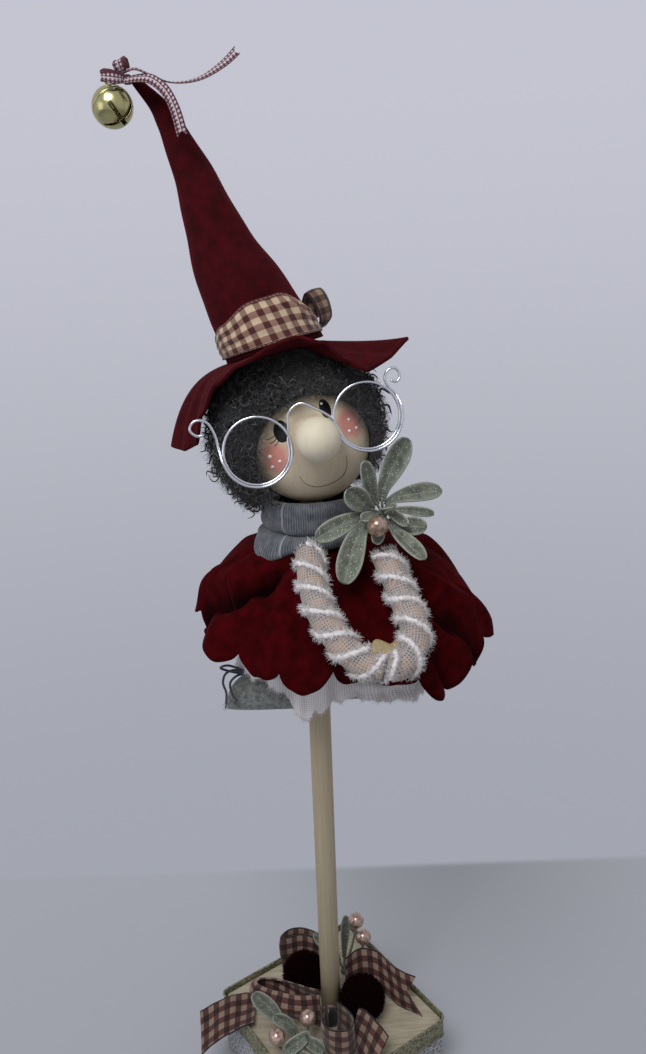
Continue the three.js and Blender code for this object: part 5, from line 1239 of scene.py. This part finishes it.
# Bell: two shells of pressed brass, plated pale gold, crimped together at the middle. The lower is cut by
# crossed slots into four petals, the upper has a wire eye, and a brass ball rattles inside.
BELL, BELL_RADIUS, BELL_WALL, SLOT = np.array([-83.8, 13.4, 558.25]), 9.5, 0.8, 2.0
SLOT_END, CRIMP = 1.03, np.pi / 2  # angles from the pole of the mouth
EYE_RADIUS, EYE_WIRE, EYE_HEIGHT = 2.4, 0.55, 11.35
mouth = unit(np.array([0.51, -0.57, -0.64]))
slot_way = np.array([0.2, -0.97, -0.13])
slot_way = unit(slot_way - mouth * (slot_way @ mouth))
BELL_TURN = np.stack([slot_way, np.cross(-mouth, slot_way), -mouth], 1)
brass, tree, shader = finish("pale_gold_brass_plate", "#b9b27e", 0.2, Metallic=1.0, Coat_Weight=0.3)
cloud = {"Vector": add(tree, "TexCoord").outputs["Object"], "Scale": 250, "Detail": 4}
cloud = add(tree, "TexNoise", cloud)
dull = add(tree, "MapRange", {0: cloud, 1: 0.35, 2: 0.7, 3: 0.16, 4: 0.34})
tree.links.new(dull.outputs[0], shader.inputs["Roughness"])
roughen(tree, shader, cloud, 0.08, 0.0003)


def bell_shell(tilt, turn):
    """Points of the bell's wall in its own frame, `tilt` from the pole of its mouth, moved to their place."""
    out = np.stack([np.sin(tilt) * np.cos(turn), np.sin(tilt) * np.sin(turn), -np.cos(tilt)], -1)
    return out * (BELL_RADIUS - BELL_WALL / 2) @ BELL_TURN.T + BELL


tip = np.arcsin(np.sqrt(2) * (SLOT / 2) / BELL_RADIUS)
tilt = np.r_[np.linspace(tip, SLOT_END, 30), np.linspace(SLOT_END + 0.005, CRIMP - 0.02, 16)][:, None]
half = SLOT / 2 * np.sqrt(np.clip(1 - ((tilt - SLOT_END + 0.1) / 0.1).clip(0, 1) ** 2, 0, 1))
bare = np.arcsin(np.clip(half / (BELL_RADIUS * np.sin(tilt)), 0, np.sin(np.pi / 4)))
share = np.linspace(0, 1, 17)[None]
turn = bare + share * (np.pi / 2 - 2 * bare)
petals = [patch(bell_shell(tilt + 0 * share, quarter * np.pi / 2 + turn)) for quarter in range(4)]
piece("bell_petals", petals, brass, "bell_lower", "bell", thick=BELL_WALL)
tilt, turn = steps((CRIMP + 0.02, np.pi, 26), (0, 2 * np.pi, 65))
crown = [patch(bell_shell(tilt, turn))]
piece("bell_crown", crown, brass, "bell_upper", "bell", thick=BELL_WALL)
eye, ring = steps((0, 2 * np.pi, 49), (0, 2 * np.pi, 17))
reach = EYE_RADIUS + EYE_WIRE * np.cos(ring)
loop = np.stack([reach * np.cos(eye), EYE_WIRE * np.sin(ring), reach * np.sin(eye)], -1)
piece("bell_eye", [patch(loop + BELL + (0, 0, EYE_HEIGHT))], brass, body="bell")
pellet = lathe(ball(2.25, 20), 32, BELL + (0, 0, -6.05))
piece("bell_rattle_ball", [pellet], brass, "bell_pellet", "pellet")

# Neck spray: leaves of grey-green plush on wire stems, dusted with frost flakes, bunched round a copper
# bead and pushed in under the scarf.
LEAF_THICK, STALK_RADIUS, PEARL_RADIUS, WIDEST = 0.7, 0.7, 5, 0.68
frosted, tree, shader = finish("frosted_sage_leaf", "#66735f", 0.75, Sheen_Weight=0.25)
green = mottle(tree, shader, 260, "#464d42", "#757b6e", 0.3, 0.7, 5)
coat(tree, shader, add(tree, "Attribute", attribute_name="tone").outputs["Fac"], "#a5a99d")
flake = {"Vector": add(tree, "TexCoord").outputs["Object"], "Scale": 1100}  # flakes of 0.4 mm
flake = add(tree, "TexVoronoi", flake)
near = add(tree, "MapRange", {0: flake.outputs["Distance"], 1: 0.16, 2: 0.26, 3: 1.0, 4: 0.0})
pick = add(tree, "SeparateXYZ", {0: flake.outputs["Color"]})
some = add(tree, "Math", {0: pick.outputs["Y"], 1: 0.5}, operation="GREATER_THAN")
frost = add(tree, "Math", {0: near, 1: some}, operation="MULTIPLY")
coat(tree, shader, frost, "#e6ece6")
grainy = add(tree, "Math", {0: green, 1: frost}, operation="ADD")
roughen(tree, shader, grainy, 0.5, 0.0005)


def leaf(root, base, tip, width, facing, rows=30, columns=13):
    """A blade from base to tip, widest past its middle, cupped and waved, and its stalk from the root."""
    midrib = spline([root, base, tip], 160)
    run = run_of(midrib)
    start = int(0.6 * np.argmin(np.linalg.norm(midrib - base, axis=1)))
    at = run[start] + (run[-1] - run[start]) * (1 - (1 - np.linspace(0, 1, rows)) ** 1.3)
    centre = np.stack([np.interp(at, run, column) for column in midrib.T], 1)
    along = unit(np.gradient(centre, axis=0))
    side = unit(np.cross(along, facing))
    up = np.cross(side, along)
    share = ((at - run[start]) / (run[-1] - run[start]))[:, None]
    swell = 0.22 + 0.78 * np.sin(np.pi / 2 * np.minimum(1, share / WIDEST)) ** 1.3
    swell *= np.sqrt(np.maximum(0, 1 - np.maximum(0, (share - WIDEST) / (1 - WIDEST)) ** 2))
    half = 0.7 + (width / 2 - 0.7) * swell
    half[-1] = 0.05
    across = np.linspace(-1, 1, columns)[None]
    lift = 0.16 * width * (across**2 - 0.3) * swell
    lift = lift + 0.035 * width * np.sin(7 * share + 3 * across) * np.abs(across)
    crease = -0.35 * hump(across, 0, 0.12) * swell
    grid = centre[:, None] + (half * across)[..., None] * side[:, None]
    grid = grid + (lift + crease)[..., None] * up[:, None]
    shade = 0.75 * np.abs(across) ** 6 + 0.3 * hump(across, 0, 0.1) + 0 * share
    blade = patch(grid, across * width / 2, share * 20, shade.ravel())
    return blade, tube(midrib[: start + 6], STALK_RADIUS, 8, 0.25)


def spray(name, node, floor, root, leaves, stalks):
    """Leaves of (base, tip, width, facing) and bare stalks from one root, at heights above that floor."""
    lift = np.array([0, 0, floor])
    blades, stems = zip(*(leaf(lift + root, lift + base, lift + tip, *shape) for base, tip, *shape in leaves))
    piece(f"{name}_leaves", blades, frosted, node, thick=LEAF_THICK)
    routes = [tube(lift + spline([root, *way], 40), 0.8, 8, 0.2) for way in stalks]
    bud = lathe(ball(2.4, 14), 20, lift + root)
    piece(f"{name}_stems", [*stems, *routes, bud], frosted)


def pearl(name, node, material):
    """A lacquered bead, 10 mm across, where its solid is."""
    low, high = (np.array(corner) * 1000 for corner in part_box(node))
    piece(name, [lathe(ball(PEARL_RADIUS, 30), 48, (low + high) / 2)], material, node)


spray("neck_spray", "neck_spray", NECK, (34.5, -24.5, 18), [
    ((34.7, -26.5, 29.9), (46.7, -23, 54.5), 11, (0.1, -1, 0.25)),
    ((38.6, -26, 25.1), (64, -16, 26.9), 9.5, (0, -0.8, 0.6)),
    ((41.6, -29, 21.3), (58.9, -27, 18.1), 4.5, (0.1, -1, 0.25)),
    ((38.5, -30, 14.9), (54.3, -36, 14.3), 9, (0, -0.9, 0.5)),
    ((38.8, -36, 14.2), (51, -54.2, 5), 8.5, (0.3, -0.8, 0.6)),
    ((24.4, -35, 15.9), (14, -48, -7.9), 12, (0, -0.9, 0.45)),
    ((21.3, -34, 19.3), (2, -39, 11.7), 9.5, (0, -1, 0.3)),
    ((26.2, -33, 24.9), (17.4, -39, 34.9), 11, (0, -1, 0.2)),
    ((30.2, -29, 27.7), (25.6, -37, 47.5), 7, (0.2, -1, 0)),
    ((37, -31, 21), (45, -40, 17), 5, (-0.4, -0.6, 0.7)),
    ((34, -33, 23), (39, -42, 27), 5, (0.3, -0.7, 0.7)),
    ((30, -31, 20), (24, -42, 21), 6, (0, -0.7, 0.7)),
    ((33, -31.5, 14.5), (30, -42, 9), 6, (0, -0.8, 0.6)),
], [
    [(33.4, -31, 18.1), (31.7, -37.4, 17.9)],
    [(30.5, -21.8, 10), (25, -17.9, 6.9), (23.1, -16.5, 4)],
])


def lacquer(name, dark, light):
    """Pearl lacquer over a glass bead: a clouded base, half metallic, under a clear glossy coat."""
    material, tree, shader = finish(name, light, 0.24, Metallic=0.6, Coat_Weight=1.0)
    mottle(tree, shader, 420, dark, light)
    return material


pearl("neck_copper_bead", "neck_pearl", lacquer("copper_pearl_lacquer", "#7f6353", "#bb9f8a"))

# Pom-poms: two balls of burgundy wool yarn, wound, tied and clipped, glued to the block beside the stick.
POMPOM, POMPOM_CORE, TUFT_ROOT, TUFTS = 13.3, 12.4, 10, 4600
pompom_yarn = toned("burgundy_pompom_yarn", "#050001", "#240309", 0.95, 0.0)
gloss = pompom_yarn.node_tree.nodes["Principled BSDF"].inputs["Specular IOR Level"]
gloss.default_value = 0.05  # wool has next to none
for name, x, y in (("pompom_right", 19.4, -6), ("pompom_left", -16.5, 14.5)):
    middle = np.array([x, y, BLOCK_TOP + 0.3 + POMPOM])
    ways = unit(rng.normal(size=(TUFTS, 3)))
    lengths = rng.uniform(3.4, 5.2, TUFTS)
    headings = ways + 0.25 * rng.normal(size=ways.shape)
    tones = rng.uniform(0.0, 0.9, TUFTS)
    tufts = strands(middle + ways * TUFT_ROOT, headings, lengths, 0.36, 0.3, 0.9, tones, 6)
    core = lathe(ball(POMPOM_CORE, 30), 48, middle)
    yarn = piece(f"{name}_yarn", [(*core[:3], core[3] * 0 + 0.1), tufts], pompom_yarn, name)

# Sprigs: more frosted leaves at the stick's foot, with champagne beads on wires.
champagne = lacquer("champagne_pearl_lacquer", "#8f7468", "#c7a999")
spray("back_sprig", "foot_sprig_back", BLOCK_TOP, (9, 26, 3.2), [
    ((9.6, 26, 22), (11.2, 25.3, 48), 5.5, (0, -1, 0.3)),
    ((3, 24, 20), (-9, 25.5, 35), 8, (0, -1, 0.4)),
], [
    [(14.5, 25.5, 24), (17.4, 21, 42.5)],
    [(18.5, 22.5, 18), (21.8, 20.5, 30)],
])
spray("front_sprig", "foot_sprig_front", BLOCK_TOP, (-20, -27, 3.2), [
    ((-32, -23, 20), (-45.5, -22, 36.5), 9.5, (0.1, -0.8, 0.6)),
    ((-22, -25, 11.5), (-34, -24, 21), 7.5, (0.2, -0.8, 0.6)),
    ((-15.5, -34, 13), (-4.8, -38, 9), 7.5, (0, -0.8, 0.6)),
    ((-15, -35, 17), (-28.2, -38, 9), 8, (0.1, -0.8, 0.6)),
    ((-22, -36, 7), (-10, -48, 9), 8, (0, -0.6, 0.8)),
], [
    [(-15.6, -27, 8), (-13.8, -25, 14.5)],
    [(-30, -33, 6), (-32, -33.8, 10.5)],
])
for place in ("back_upper", "back_lower", "front_upper", "front_lower"):
    pearl(f"{place}_bead", f"pearl_{place}", champagne)

# Foot bow: gingham ribbon 24 mm wide with wired edges, tied round the stick's foot. Its loops and tails
# stand on edge, and the wire keeps them curled.
RIBBON = 24
FOOT_DYES = ("#8d7768", "#57302b", "#4c302a", "#200808", "#18050a")
foot_gingham = gingham("burgundy_taupe_gingham", 3.6, *FOOT_DYES, RIBBON, 0.8)
MIDDLE = BLOCK_TOP + 0.3 + RIBBON / 2  # the height of a ribbon's middle when it stands on the block
UPRIGHT = [(0, 0.12, 1)]
# Places, ways across the ribbon, the depth of its notch, and how it is held
BOW = {
    "foot_loop_back": ([(1.5, 31, MIDDLE), (-8, 36, MIDDLE + 1), (-18, 38.5, MIDDLE + 2),
        (-27, 36, MIDDLE + 3), (-31.5, 30.5, MIDDLE + 2), (-27, 31.6, MIDDLE + 1.5),
        (-16, 33.4, MIDDLE + 1), (-3, 27.8, MIDDLE)], UPRIGHT * 8, 0, "folded"),
    "foot_loop_left": ([(-7, -14, MIDDLE + 1), (-22, -16.5, MIDDLE + 7.5), (-37, -11.5, MIDDLE + 11),
        (-44.5, -5, MIDDLE + 12), (-40, -3, MIDDLE + 11), (-24, -7, MIDDLE + 7.5),
        (-7, -10, MIDDLE + 1)], UPRIGHT * 7, 0, "folded"),
    "foot_loop_front": ([(-2, -17.6, MIDDLE), (-5, -29, MIDDLE), (1, -37, MIDDLE), (10, -37, MIDDLE),
        (13.4, -29, MIDDLE), (3.4, -17.4, MIDDLE)], [(0, -0.1, 1)] * 6, 0, "folded"),
    "foot_tail_right": ([(9.4, 10.4, MIDDLE + 2), (20, 14.4, MIDDLE + 5), (31, 11.6, MIDDLE + 4),
        (42, 4, MIDDLE - 1), (55, -3, MIDDLE - 3)], [(0, 0.3, 1), (-0.1, 0.4, 0.9), (-0.15, 0.5, 0.85),
        (-0.15, 0.52, 0.84), (-0.15, 0.52, 0.84)], 8, "hung"),
    "foot_tail_left": ([(-47.4, -2, 44.9), (-56, -4.4, 45.3), (-67, -9.4, 45.5), (-80, -15, 40.5)],
        [(0, 1, -0.02), (0, 1, 0.02), (-0.1, 0.92, 0.4), (-0.1, 0.88, 0.46)], 0, "hung"),
    "foot_tail_front": ([(14.8, -24, MIDDLE), (18, -30, MIDDLE + 1), (22.6, -37.5, MIDDLE),
        (27, -44, MIDDLE - 3)], [(0.2, 0.1, 1), (0.3, 0.2, 1), (0.4, 0.4, 0.8), (0.5, 0.6, 0.6)], 0,
        "hung"),
}
# The left loop is pinched at its far end: its widths, and how far it bulges outwards
PINCHED = {"foot_loop_left": ((22, 17, 11, 7, 11, 17, 22), (-1.5, -4, -6, -6, -6, -4, -1.5))}


def foot_ripple(number):
    """The waves of one foot ribbon, shifted by its number: a long one and a fine one, aslant."""
    def wave(along, across):
        return 0.5 * np.sin(9 * along + 4 * across + number) + 0.3 * np.sin(21 * along - 5 * across)

    return wave


for k, (name, (points, sides, notch, held)) in enumerate(BOW.items()):
    wide, cup = PINCHED.get(name, (RIBBON, 0.8))
    strip = ribbon_patch(points, sides, wide, 90, 19, notch, cup, foot_ripple(k))
    made = piece(f"{name}_ribbon", [strip], foot_gingham, name, thick=0.5)
knot = pillow((-1, -11.6, BLOCK_TOP + 6.5), (10, 8.4, 12), 0.16)
piece("foot_bow_knot", [knot], foot_gingham, "foot_knot")
